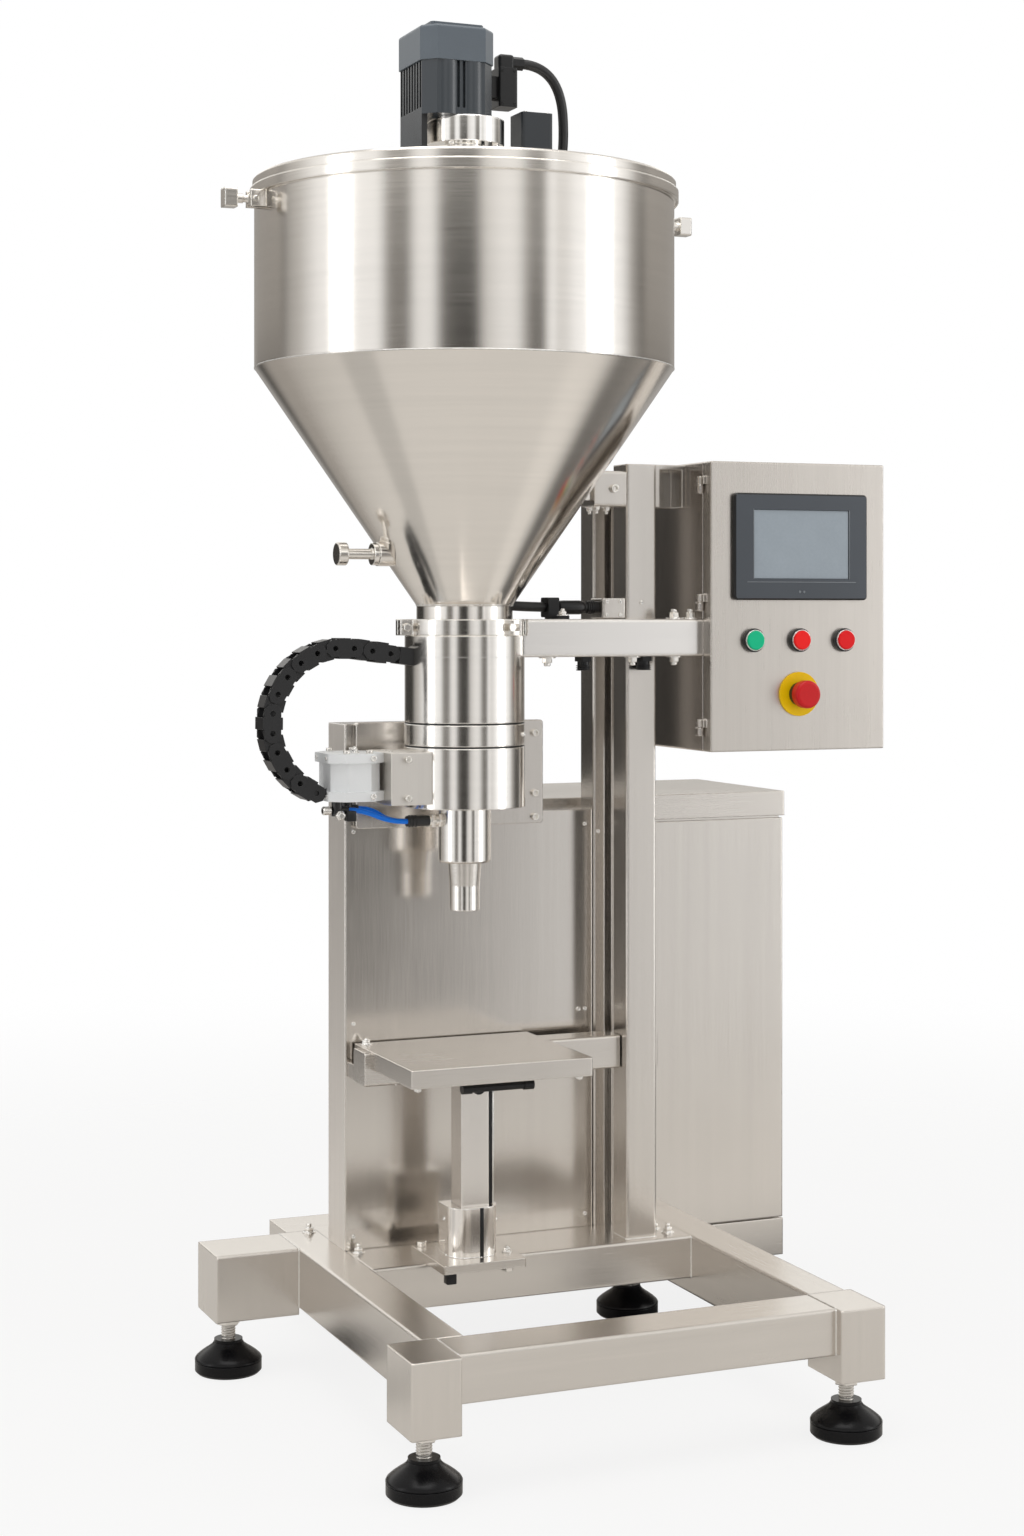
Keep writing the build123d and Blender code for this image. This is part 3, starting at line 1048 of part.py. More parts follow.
def cable_chain():
    """Energy chain: wide and narrow links in turn, along a straight run and an arc."""
    pitch = 2 * CHAIN_R * sin(radians(CHAIN_STEP / 2))
    overhang = pitch / 2 - CHAIN_PLAY
    half = CHAIN_H / 2 - CHAIN_BAR_T

    def plate():
        face = Rectangle(pitch + 2 * overhang, 2 * half)
        face = Pos(pitch / 2, 0) * chamfer(face.vertices(), half * 0.6)
        for spot in (0, pitch):
            face -= Pos(spot, 0) * Circle(CHAIN_HOLE_R)
        return face

    def link(width):
        solids = None
        for side in (-1, 1):
            low = width / 2 - CHAIN_PLATE_T if side > 0 else -width / 2
            sheet = extrude(Plane.XY.offset(low) * plate(), amount=CHAIN_PLATE_T)
            solids = sheet if solids is None else solids + sheet
        for side in (-1, 1):
            bar_y = sorted((side * half, side * (half + CHAIN_BAR_T)))
            solids += block(around(pitch / 2, pitch * 0.62), bar_y, around(0, width))
        return solids

    wide = link(CHAIN_W)
    narrow = link(CHAIN_W - 2 * CHAIN_PLATE_T - CHAIN_PLAY)
    cx, cz = CHAIN_CENTRE
    start = radians(CHAIN_START_ANGLE)
    x = cx + CHAIN_R * cos(start)
    z = cz + CHAIN_R * sin(start)
    heading = CHAIN_START_ANGLE + 90 + CHAIN_STEP / 2
    straight = CHAIN_START_ANGLE + 90
    x -= CHAIN_STRAIGHT_LINKS * pitch * cos(radians(straight))
    z -= CHAIN_STRAIGHT_LINKS * pitch * sin(radians(straight))
    core = rod(DRUM_R + SEAM, (0, 0, DRUM_BOTTOM), (0, 0, DRUM_TOP))

    def link_frame(angle):
        along = (cos(radians(angle)), 0, sin(radians(angle)))
        return Plane(origin=(x, 0, z), x_dir=along, z_dir=(0, -1, 0))

    anchor_x = (-pitch * 2, -overhang - CHAIN_PLAY)
    anchor = link_frame(straight) * block(anchor_x, (-half, half), around(0, CHAIN_W))
    add("cable_chain", anchor - core)
    for index in range(CHAIN_STRAIGHT_LINKS + CHAIN_ARC_LINKS):
        bent = index - CHAIN_STRAIGHT_LINKS
        angle = straight if bent < 0 else heading + bent * CHAIN_STEP
        shape = wide if index % 2 == 0 else narrow
        add("cable_chain", link_frame(angle) * shape)
        x += pitch * cos(radians(angle))
        z += pitch * sin(radians(angle))
    tongue_y = around(0, CHAIN_W - 2 * CHAIN_PLATE_T - 2 * CHAIN_PLAY)
    add("cable_chain", block((x - half / 2, ACTUATOR_X[0]), tongue_y, around(z, half)))


def platform():
    """Bottle tray on a crossbar and a lift tube that slides in the column."""
    z = (TRAY_TOP - TRAY_SKIRT, TRAY_TOP)
    tray = soft_edges(block(TRAY_X, TRAY_Y, z), Axis.Z, 2)
    inset = TRAY_SHEET
    tray -= block((TRAY_X[0] + inset, TRAY_X[1] - inset), (TRAY_Y[0] + inset, TRAY_Y[1] - inset),
                  (z[0] - 1, CROSSBAR_TOP))
    bar_y = (CROSSBAR_FRONT, CROSSBAR_FRONT + CROSSBAR)
    bar_x = (LEFT_BEAM_IN, POST_X - 3 * SLIDE_GAP)
    bar_z = (CROSSBAR_TOP - CROSSBAR, CROSSBAR_TOP)
    tray -= block((TRAY_X[0] - 1, TRAY_X[1] + 1), (bar_y[0] - SEAM, bar_y[1] + SEAM),
                  (z[0] - 1, CROSSBAR_TOP))
    add("platform_tray", tray)
    bar = tube(bar_x, bar_y, bar_z, "X", 3.0, 3.0, wall=3.0)
    add("platform_crossbar", bar)
    shoe_y = (bar_y[1], PANEL_FRONT - SLIDE_GAP)
    add("platform_crossbar", block((bar_x[0], bar_x[0] + 40), shoe_y, (bar_z[0] + 2, z[0] - 1)))
    wall = COLUMN_WALL
    lift = around(0, COLUMN - 2 * wall - 2 * SLIDE_GAP)
    head_x, head_y, head_t = LIFT_HEAD
    lift_y = around(COLUMN_Y, COLUMN - 2 * wall - 2 * SLIDE_GAP)
    stem = tube(lift, lift_y, (LIFT_BOTTOM, CROSSBAR_TOP - head_t), "Z", wall=3.0, corner=1.5)
    plate = block(around(0, head_x), around(COLUMN_Y, head_y), (CROSSBAR_TOP - head_t, CROSSBAR_TOP))
    add("lift_tube", stem + plate)


def column():
    """Fixed outer column in its clamp collar on the base plate."""
    outer_x = around(0, COLUMN)
    outer_y = around(COLUMN_Y, COLUMN)
    column = tube(outer_x, outer_y, (COLUMN_BOTTOM, COLUMN_TOP), "Z", wall=COLUMN_WALL, corner=2.0)
    slot = block((COLUMN / 2 - COLUMN_WALL - 1, COLUMN / 2 + 1), around(COLUMN_Y, COLUMN_SLOT_W),
                 (COLUMN_BOTTOM + COLUMN_SLOT_UP, COLUMN_TOP + 1))
    hole = rod(LEVER_PIN_R + RUN_FIT, (0, COLUMN_FRONT - 1, LEVER_Z),
               (0, COLUMN_FRONT + COLUMN_WALL + 1, LEVER_Z))
    add("column_tube", column - slot - hole)
    collar_top = COLUMN_BOTTOM + COLLAR_H
    collar = block(around(0, COLLAR_W), around(COLUMN_Y, COLUMN + 2 * COLLAR_T), (COLUMN_BOTTOM, collar_top))
    front = collar.edges().filter_by(Axis.Z).group_by(Axis.Y)[0]
    collar = fillet(front, 22)
    collar -= block(around(0, COLUMN + 2 * SEAM), around(COLUMN_Y, COLUMN + 2 * SEAM),
                    (COLUMN_BOTTOM - 1, collar_top + 1))
    plate = soft_edges(block(around(0, PLATE_X), PLATE_Y, (FRAME_TOP, COLUMN_BOTTOM)), Axis.Z, 3)
    add("pedestal_collar", collar, plate)
    for x in (-42, 42):
        add("hex_fasteners", bolt(10, 6, (x, 32, COLUMN_BOTTOM), (0, 0, 1)))
    add("hex_fasteners", bolt(13, 10, (PLATE_X / 2 - 12, PLATE_Y[0] + 30, FRAME_TOP), (0, 0, -1)))


def clamp_lever():
    """T-handle that clamps the lift tube in the column."""
    seat = COLUMN_FRONT - SLIDE_GAP
    y = seat - LEVER_R - 6
    end_r = LEVER_R + 1.2
    end_l = 12.0
    left, right = end_l - LEVER_SHORT, LEVER_LONG - end_l
    profile = [(-LEVER_SHORT, 0), (-LEVER_SHORT, end_r), (left, end_r), (left, LEVER_R),
               (right, LEVER_R), (right, end_r), (LEVER_LONG, end_r), (LEVER_LONG, 0)]
    bar = Pos(0, y, LEVER_Z) * revolve(make_face(Polyline(*profile, close=True)), Axis.X)
    boss = rod(LEVER_PIN_R + 4, (0, seat, LEVER_Z), (0, y, LEVER_Z))
    pin = rod(LEVER_PIN_R, (0, seat, LEVER_Z), (0, COLUMN_FRONT + COLUMN_WALL, LEVER_Z))
    add("clamp_lever", bar + boss + pin)


def build():
    """Build every node, in the order in which the machine goes together."""
    base_frame()
    for name, spot in FOOT_SPOTS.items():
        add(name, *foot(spot))
        add("hex_fasteners", foot_nut(spot))
    posts()
    back_panel()
    cabinet()
    hopper()
    drain_knob()
    add("lid_clamp_left", lid_clamp(-1))
    add("lid_clamp_right", lid_clamp(1))
    hopper_lid()
    agitator()
    auger()
    drums()
    drum_plate()
    support_arm()
    post_brackets()
    motors()
    motor_cable()
    arm_glands()
    control_box()
    control_door()
    push_buttons()
    actuator()
    air_lines()
    cable_chain()
    platform()
    column()
    clamp_lever()


def footprint_middle():
    """Middle of the whole machine's footprint, which becomes the origin."""
    box = Compound(children=[Compound(solids) for solids in PARTS.values()]).bounding_box()
    return ((box.min.X + box.max.X) / 2, (box.min.Y + box.max.Y) / 2)


build()
ORIGIN = footprint_middle()
if __name__ == "__main__":
    os.makedirs("parts", exist_ok=True)
    print("auger axis at", round(-ORIGIN[0], 3), round(-ORIGIN[1], 3))
    for node, solids in PARTS.items():
        shift = Pos(-ORIGIN[0], -ORIGIN[1], 0)
        pieces = [shift * piece for solid in solids for piece in solid.solids()]
        shape = pieces[0] if len(pieces) == 1 else Compound(pieces)
        export_step(shape, f"parts/{node}.step")
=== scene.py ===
"""Looks of the auger powder filler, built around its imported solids.

Everything is in metres in the frame of the solids: the origin is the middle of the footprint and
the front is towards -Y. spot() takes millimetres from the auger axis and the floor.
"""
from math import pi, radians, sin

import bmesh
import bpy
from mathutils import Matrix, Vector


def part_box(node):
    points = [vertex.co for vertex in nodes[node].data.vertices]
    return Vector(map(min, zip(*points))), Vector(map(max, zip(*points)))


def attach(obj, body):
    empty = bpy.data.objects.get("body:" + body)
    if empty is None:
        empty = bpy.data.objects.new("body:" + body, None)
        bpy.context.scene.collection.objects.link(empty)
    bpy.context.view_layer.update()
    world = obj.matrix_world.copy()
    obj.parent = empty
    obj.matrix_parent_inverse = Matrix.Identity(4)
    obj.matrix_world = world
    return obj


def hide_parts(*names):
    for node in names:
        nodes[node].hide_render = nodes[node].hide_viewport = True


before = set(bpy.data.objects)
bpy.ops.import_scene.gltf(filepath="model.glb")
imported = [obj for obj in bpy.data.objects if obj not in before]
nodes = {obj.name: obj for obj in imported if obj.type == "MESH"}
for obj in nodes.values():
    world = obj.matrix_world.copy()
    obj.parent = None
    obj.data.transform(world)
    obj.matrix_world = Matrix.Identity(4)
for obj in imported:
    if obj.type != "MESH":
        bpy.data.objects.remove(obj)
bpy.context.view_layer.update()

# Camera: a long lens at chest height, level and turned to the right. The lens is shifted down so that
# the feet come into the frame while upright edges stay upright.
camera = bpy.data.objects.new("camera", bpy.data.cameras.new("camera"))
bpy.context.scene.collection.objects.link(camera)
camera.location = (-1.2226, -2.79195, 0.9148)
camera.rotation_euler = (radians(90), 0, radians(-22.7))
camera.data.sensor_fit = "VERTICAL"
camera.data.sensor_height = 36
camera.data.lens = 59.18
camera.data.shift_y = -0.1023
bpy.context.scene.camera = camera
bpy.context.scene.view_settings.view_transform = "Standard"


# Studio: white surroundings with darker gaps that polished steel shows as upright bands, a large
# soft lamp overhead, a soft box on either side, and a pale floor that fades out all round. Dark
# flags on the floor, a wide one at the right and a narrow one at the left, show in reflections alone.
class Socket:
    """The output of a shader node, which takes arithmetic and feeds new nodes; without one, a tree's start."""

    def __init__(self, tree, output=None):
        self.tree = tree
        self.output = output

    def node(self, kind, inputs, output=0, stops=(), **settings):
        """A new node: its settings and a ramp's stops first, then the values or links of its sockets."""
        made = self.tree.nodes.new("ShaderNode" + kind)
        for key, value in settings.items():
            setattr(made, key, value)
        for index, (position, colour) in enumerate(stops):
            ramp = made.color_ramp.elements
            if index == 0:
                ramp.remove(ramp[1])
            stop = ramp.new(position) if index else ramp[0]
            stop.position = position
            stop.color = colour
        for key, value in inputs.items():
            if isinstance(value, Socket):
                self.tree.links.new(value.output, made.inputs[key])
            else:
                made.inputs[key].default_value = value
        return Socket(self.tree, made.outputs[output])

    def math(self, operation, other):
        return self.node("Math", {0: self, 1: other}, operation=operation)

    def __add__(self, other):
        return self.math("ADD", other)

    def __sub__(self, other):
        return self.math("SUBTRACT", other)

    def __rsub__(self, other):
        return self.node("Math", {0: other, 1: self}, operation="SUBTRACT")

    def __mul__(self, other):
        if isinstance(other, tuple):
            return self.node("VectorMath", {0: self, 1: other}, operation="MULTIPLY")
        return self.math("MULTIPLY", other)

    def dot(self, other):
        return self.node("VectorMath", {0: self, 1: other}, 1, operation="DOT_PRODUCT")

    def above(self, low, high):
        """0 below low, 1 above high and smooth between."""
        return self.node("MapRange", {"Value": self, "From Min": low, "From Max": high},
                         interpolation_type="SMOOTHSTEP")

    def noise(self, scale, detail=2.0, roughness=0.5):
        return self.node("TexNoise", {"Vector": self, "Scale": scale, "Detail": detail, "Roughness": roughness})

    def tint(self, colour):
        """A colour times this value."""
        return self.node("VectorMath", {0: colour, "Scale": self}, operation="SCALE")

    def blend(self, low, high):
        """Mix two colours, each a socket or three numbers, by this value."""
        low, high = (end if isinstance(end, Socket) else (*end, 1) for end in (low, high))
        return self.node("Mix", {0: self, 6: low, 7: high}, 2, data_type="RGBA")


world = bpy.data.worlds.new("studio")
world.use_nodes = True
bpy.context.scene.world = world
tree = world.node_tree
sky = tree.nodes["Background"]
towards = Socket(tree).node("TexCoord", {}, "Generated")
TO_RIGHT = (0.9225, -0.386, 0)
TO_VIEWER = (-0.386, -0.9225, 0)
FROM_VIEWER = (0.386, 0.9225, 0)
turn = towards.dot(TO_RIGHT).math("ARCTAN2", towards.dot(TO_VIEWER)) * (0.5 / pi) + 0.5
gaps = [(-180, 0.45), (-162, 0.36), (-152, 0.06), (-118, 0.04), (-108, 0.42), (-98, 0.58), (-84, 1.0), (-46, 1.05),
        (-39, 0.24), (-30, 0.18), (-24, 0.95), (-16, 1.0), (-10, 0.1), (-2, 0.04), (7, 0.03), (12, 0.7), (22, 0.95),
        (29, 0.95), (36, 0.2), (43, 0.1), (45, 0.55), (47, 1.1), (49.5, 1.1), (52, 0.8), (57, 0.85), (63, 1.1),
        (94, 1.05), (104, 0.4), (114, 0.1), (150, 0.14), (160, 0.4)]
bands = [(degrees / 360 + 0.5, (level, level * (0.94 + 0.06 * level), level * (0.86 + 0.14 * level), 1))
         for degrees, level in gaps]
height = towards.dot((0, 0, 1))
behind = towards.dot(FROM_VIEWER).above(0.3, 0.5) * height.above(0.06, 0.12)
back_wall = (0.36, 0.34, 0.315)
low_ceiling = (1.35, 1.33, 1.28)
high_ceiling = (0.86, 0.84, 0.81)
ground = (0.38, 0.355, 0.325)
walls = behind.blend(turn.node("ValToRGB", {"Fac": turn}, stops=bands), back_wall)
walls = height.above(0.18, 0.24).blend(walls, low_ceiling)
walls = height.above(0.36, 0.5).blend(walls, high_ceiling)
walls = height.above(-0.3, -0.15).blend(ground, walls)
glossy = towards.node("LightPath", {}, "Is Glossy Ray")
through = towards.node("LightPath", {}, "Is Transmission Ray")
seen = towards.node("LightPath", {}, "Is Camera Ray").math("MAXIMUM", through)
backdrop = seen.blend(glossy.blend((0.6, 0.6, 0.6), walls), (1, 1, 1))
tree.links.new(backdrop.output, sky.inputs["Color"])
sky.inputs["Strength"].default_value = 1.0


def soft_lamp(name, place, target, width, height, power):
    """A rectangular area lamp at a place, facing a target."""
    lamp = bpy.data.lights.new(name, "AREA")
    lamp.shape = "RECTANGLE"
    lamp.size = width
    lamp.size_y = height
    lamp.energy = power
    holder = bpy.data.objects.new(name, lamp)
    bpy.context.scene.collection.objects.link(holder)
    holder.location = place
    holder.rotation_euler = (Vector(target) - Vector(place)).to_track_quat("-Z", "Y").to_euler()


soft_lamp("overhead_lamp", (-0.4, -0.6, 3.6), (0, 0, 0.4), 2.4, 2.4, 42)
soft_lamp("left_box", (-3.2, -0.1, 1.3), (0, 0, 1.1), 0.7, 2.6, 9)
soft_lamp("right_box", (2.5, -1.95, 1.3), (0, 0, 1.1), 0.8, 2.6, 14)

floor_mesh = bmesh.new()
bmesh.ops.create_circle(floor_mesh, cap_ends=True, radius=4.0, segments=96)
floor = bpy.data.objects.new("floor", bpy.data.meshes.new("floor"))
floor_mesh.to_mesh(floor.data)
floor_mesh.free()
bpy.context.scene.collection.objects.link(floor)
pale = bpy.data.materials.new("pale_floor")
pale.use_nodes = True
tree = pale.node_tree
place = Socket(tree).node("TexCoord", {}, "Object")
fade = place.node("VectorMath", {0: place}, 1, operation="LENGTH").above(1.1, 3.2)
shade = tree.nodes["Principled BSDF"]
shade.inputs["Roughness"].default_value = 0.6
shade.inputs["Specular IOR Level"].default_value = 0.2
tone = place.noise(3.0) * 0.04 + 0.68
glossy = place.node("LightPath", {}, "Is Glossy Ray")
auger_axis = (-0.1205, -0.01175, 0)
outward = place.node("VectorMath", {0: place, 1: auger_axis}, operation="SUBTRACT")
bearing = outward.dot(TO_RIGHT).math("ARCTAN2", outward.dot(TO_VIEWER)) * (180 / pi)
right_flag = bearing.above(93, 108) * (1.0 - bearing.above(138, 156)) * 0.85
left_flag = bearing.above(-84, -79) * (1.0 - bearing.above(-62, -57)) * 0.3
right_glow = bearing.above(66, 80) * (1.0 - bearing.above(88, 98)) * 0.2
flag = 1.0 - right_flag - left_flag + right_glow
shown = 1.0 - glossy * (1.0 - flag)
tree.links.new((tone * shown).tint((1, 0.975, 0.94)).output, shade.inputs["Base Color"])
white = place.node("Emission", {"Color": glossy.blend((1, 1, 1), (1, 0.95, 0.88))})
watched = place.node("LightPath", {}, "Is Camera Ray") * 0.84 + glossy * flag * 0.3
lifted = place.node("MixShader", {0: watched, 1: Socket(tree, shade.outputs[0]), 2: white})
clear = place.node("BsdfTransparent", {})
mixed = place.node("MixShader", {0: fade, 1: lifted, 2: clear})
tree.links.new(mixed.output, tree.nodes["Material Output"].inputs["Surface"])
floor.data.materials.append(pale)


# Base frame: square stainless tube, cut square, welded at the joints and brushed along each beam.
# The beads stand as fine ripples at the corners of the joints.
def spot(x, y, z):
    """A place given in millimetres from the auger axis and the floor."""
    return Vector((x - 120.5, y - 11.75, z)) * 0.001


def start_material(name):
    """A new material with its shader and the place on the piece that its patterns follow."""
    material = bpy.data.materials.new(name)
    material.use_nodes = True
    tree = material.node_tree
    return material, tree.nodes["Principled BSDF"], Socket(tree).node("TexCoord", {}, "Object")


def feed(shader, place, **wires):
    """Link sockets to the inputs of a shader; names take underscores for spaces."""
    for name, wire in wires.items():
        place.tree.links.new(wire.output, shader.inputs[name.replace("_", " ")])


def brushed(name, colour, grain, rough, depth=0.1, edge=0.0024, smudge=0.1):
    """Satin steel: fine streaks along the grain, broad drifts of tone, smudges, and edges painted brighter: a
    painted highlight along with wear from rubbing.
    """
    material, shader, place = start_material(name)
    fine = (place * grain).noise(1.0, 3.0, 0.6)
    broad = (place * tuple(step * 0.11 for step in grain)).noise(1.0, 2.0)
    cloud = place.noise(4.0, 3.0, 0.6)
    soft = place.node("Bevel", {"Radius": edge}, samples=4)
    plain = place.node("NewGeometry", {}, "Normal")
    # Painted highlight along with wear from rubbing: the base colour is lighter near the edges.
    rub_and_highlight = 1.0 - soft.dot(plain).above(0.8, 0.995)
    tone = fine * 0.08 + broad * 0.08 + cloud * smudge + rub_and_highlight * 0.3 + (0.92 - smudge / 2)
    polish = fine * 0.08 + cloud * 0.1 - rub_and_highlight * 0.05 + (rough - 0.09)
    relief = place.node("Bump", {"Strength": depth, "Distance": 0.0002, "Height": fine, "Normal": soft})
    feed(shader, place, Base_Color=tone.tint(colour), Roughness=polish, Normal=relief)
    shader.inputs["Metallic"].default_value = 1.0
    return material


def dress(node, *materials):
    """Give a solid its materials in place of the one it came with."""
    slots = nodes[node].data.materials
    slots.clear()
    for material in materials:
        slots.append(material)


def turned(mesh, profile, place, axis=(0, 0, 1), steps=32):
    """Spin a profile of (radius, height) pairs in millimetres about an axis that starts at a place."""
    shape = bmesh.new()
    corners = [shape.verts.new((radius * 0.001, 0, height * 0.001)) for radius, height in profile]
    edges = [shape.edges.new(pair) for pair in zip(corners, corners[1:])]
    bmesh.ops.spin(shape, geom=corners + edges, cent=(0, 0, 0), axis=(0, 0, 1), angle=2 * pi, steps=steps,
                   use_merge=True)
    bmesh.ops.remove_doubles(shape, verts=shape.verts, dist=1e-6)
    bmesh.ops.recalc_face_normals(shape, faces=shape.faces)
    upright = Vector(axis).to_track_quat("Z", "Y").to_matrix().to_4x4()
    bmesh.ops.transform(shape, matrix=Matrix.Translation(place) @ upright, verts=shape.verts)
    store = bpy.data.meshes.new("turned_shape")
    shape.to_mesh(store)
    shape.free()
    mesh.from_mesh(store)
    bpy.data.meshes.remove(store)


def piece(name, mesh, material, body):
    """A finished object from a mesh, riding on a body; edges over 35 degrees stay crisp."""
    data = bpy.data.meshes.new(name)
    mesh.to_mesh(data)
    mesh.free()
    data.polygons.foreach_set("use_smooth", [True] * len(data.polygons))
    data.set_sharp_from_angle(angle=radians(35))
    data.materials.append(material)
    made = bpy.data.objects.new(name, data)
    bpy.context.scene.collection.objects.link(made)
    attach(made, body)


ALONG_X = (14.0, 900.0, 900.0)
ALONG_Y = (900.0, 14.0, 900.0)
ALONG_Z = (900.0, 900.0, 14.0)
WARM = (0.68, 0.645, 0.605)
beam_y = brushed("beam_steel_along", WARM, ALONG_Y, 0.25, edge=0.0035)
beam_x = brushed("beam_steel_across", WARM, ALONG_X, 0.25, edge=0.0035)
leg_steel = brushed("leg_steel", WARM, ALONG_Z, 0.25, edge=0.0035)
dress("base_beams", beam_y, beam_x)
low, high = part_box("base_beams")
side_beam = 0.0505
for face in nodes["base_beams"].data.polygons:
    inside = low.x + side_beam < face.center.x < high.x - side_beam
    face.material_index = 1 if inside else 0
dress("base_legs", leg_steel)


def weld(mesh, start, end, radius=1.4):
    """A bead of small ripples along a joint."""
    length = (end - start).length * 1000
    count = max(6, int(length / 1.6))
    ripples = [(radius * (0.82 + 0.18 * sin(step * 2.4)), length * step / count) for step in range(count + 1)]
    turned(mesh, [(0, 0), *ripples, (0, length)], start, end - start, 8)


bright = brushed("bright_steel", (0.82, 0.8, 0.77), (300.0, 300.0, 300.0), 0.2, 0.05)
beads = bmesh.new()
for x, y in ((295, -362), (-150, -362), (295, -10), (-118, -10)):
    weld(beads, spot(x, y, 98), spot(x, y, 148))
weld(beads, spot(-168, 115, 78), spot(-168, 115, 148))
weld(beads, spot(-168, 116, 149), spot(-168, 196, 149), 1.0)
for x in (295, -150):
    weld(beads, spot(x, -361, 149), spot(x, -298, 149), 1.0)
for x in (214, 254):
    weld(beads, spot(x, 5, 149), spot(x, 43, 149), 1.2)
weld(beads, spot(215, 4, 149), spot(253, 4, 149), 1.2)
piece("beam_welds", beads, bright, "frame")


def stud_and_nut(mesh, place, axis, flats, stud=5.0):
    """A washer, a hexagon nut with chamfered corners, and the end of its stud."""
    corner = flats * 0.577
    washer = 1.2
    turned(mesh, [(0, 0), (flats * 0.8, 0), (flats * 0.8, washer), (0, washer)], place, axis, 24)
    top = washer + flats * 0.5
    turned(mesh, [(0, washer), (corner * 0.94, washer), (corner, 1.8), (corner, top - 0.8), (corner * 0.88, top),
                  (0, top)], place, axis, 6)
    end = top + stud
    rod = flats * 0.3
    turned(mesh, [(0, top), (rod, top), (rod, end - 1), (rod - 1, end), (0, end)], place, axis, 16)


nuts = bmesh.new()
for x, y in ((-132, 187), (-108, 70), (276, 17), (268, 40)):
    stud_and_nut(nuts, spot(x, y, 149), (0, 0, 1), 10)
piece("base_nuts", nuts, bright, "frame")


# Levelling feet: moulded black pads with domed tops on threaded stainless stems, with a lock nut
# under the frame. The thread is rolled, three millimetres in pitch.
def plastic(name, colour, rough, grain=900.0, depth=0.1, shine=0.5):
    """Moulded plastic or paint: fine grain, slow drift of tone and roughness, and edges painted paler: a painted
    highlight along with wear from rubbing.
    """
    material, shader, place = start_material(name)
    fine = place.noise(grain, 2.0)
    cloud = place.noise(9.0, 3.0, 0.6)
    soft = place.node("Bevel", {"Radius": 0.0008}, samples=4)
    # Painted highlight along with wear from rubbing: the base colour is paler near the edges.
    rub_and_highlight = 1.0 - soft.dot(place.node("NewGeometry", {}, "Normal")).above(0.8, 0.995)
    relief = place.node("Bump", {"Strength": depth, "Distance": 0.0002, "Height": fine, "Normal": soft})
    feed(shader, place, Base_Color=(cloud * 0.3 + fine * 0.1 + rub_and_highlight * 0.25 + 0.8).tint(colour),
         Roughness=cloud * 0.12 + fine * 0.06 + (rough - 0.09), Normal=relief)
    shader.inputs["Specular IOR Level"].default_value = shine
    return material


black = plastic("black_plastic", (0.013, 0.013, 0.014), 0.3, shine=0.35)
pad_black = plastic("pad_black", (0.004, 0.004, 0.005), 0.26, shine=0.2)
stem_steel = brushed("stem_steel", (0.62, 0.6, 0.57), (300.0, 300.0, 300.0), 0.2, 0.05)
pad_top = 0.0402
thread_pitch = 3.0
turns = 13
facets = 18
feet = {"front_left": (-178, -335.5), "front_right": (323, -335.5),
        "back_left": (-244, 156), "back_right": (305, 195)}
for corner, (x, y) in feet.items():
    dress("foot_" + corner, pad_black, stem_steel)
    for face in nodes["foot_" + corner].data.polygons:
        face.material_index = 1 if face.center.z > pad_top else 0
    thread = bmesh.new()
    ridge = [(7.6, 0), (8.7, thread_pitch * 0.35), (8.7, thread_pitch * 0.5), (7.6, thread_pitch * 0.85)]
    knots = [thread.verts.new((radius * 0.001, 0, height * 0.001)) for radius, height in ridge]
    edges = [thread.edges.new((knots[index - 1], knots[index])) for index in range(len(knots))]
    climb = (0, 0, thread_pitch * 0.001 / facets)
    bmesh.ops.spin(thread, geom=knots + edges, cent=(0, 0, 0), axis=(0, 0, 1), dvec=climb,
                   angle=2 * pi * turns, steps=facets * turns)
    bmesh.ops.holes_fill(thread, edges=thread.edges)
    bmesh.ops.recalc_face_normals(thread, faces=thread.faces)
    bmesh.ops.translate(thread, vec=spot(x, y, 41), verts=thread.verts)
    piece("stem_thread_" + corner, thread, stem_steel, corner + "_foot")
    dome = bmesh.new()
    turned(dome, [(39, 15), (40.2, 15.4), (40.2, 16.4), (39, 18.6), (35, 22.2), (29.5, 26.2), (24, 29.8),
                  (19.6, 33.2), (17.3, 36.6), (16.6, 36), (18, 32.6), (39, 15)], spot(x, y, 0), steps=64)
    piece("pad_dome_" + corner, dome, pad_black, corner + "_foot")

# Posts, back panel and cabinet: folded stainless sheet and square tube brushed upright, the lids along
# their length. The sheets are screwed on, and the posts stand welded on the base frame.
sheet_steel = brushed("sheet_steel", WARM, ALONG_Z, 0.23)
panel_steel = brushed("panel_steel", WARM, ALONG_Z, 0.17, 0.04, smudge=0.14)
lid_steel = brushed("cabinet_lid_steel", WARM, ALONG_X, 0.26)
# Painted light: the back panel's left-facing faces take a paler, duller steel, as if lit from the left.
lit_side_steel = brushed("lit_side_steel", (0.86, 0.82, 0.78), ALONG_Z, 0.5)
dress("back_panel", panel_steel, lit_side_steel)
for face in nodes["back_panel"].data.polygons:
    face.material_index = 1 if face.normal.x < -0.9 else 0
for node in ("posts", "cabinet_shell", "drum_plate", "post_brackets"):
    dress(node, sheet_steel)
for node in ("cabinet_lid", "cabinet_plinth"):
    dress(node, lid_steel)


def cap_screw(mesh, place, axis, radius, head):
    """A round screw head with rounded rim and a socket sunk in it."""
    turned(mesh, [(0, 0), (radius, 0), (radius, head * 0.7), (radius * 0.8, head), (radius * 0.55, head),
                  (radius * 0.5, head * 0.45), (0, head * 0.45)], place, axis, 20)


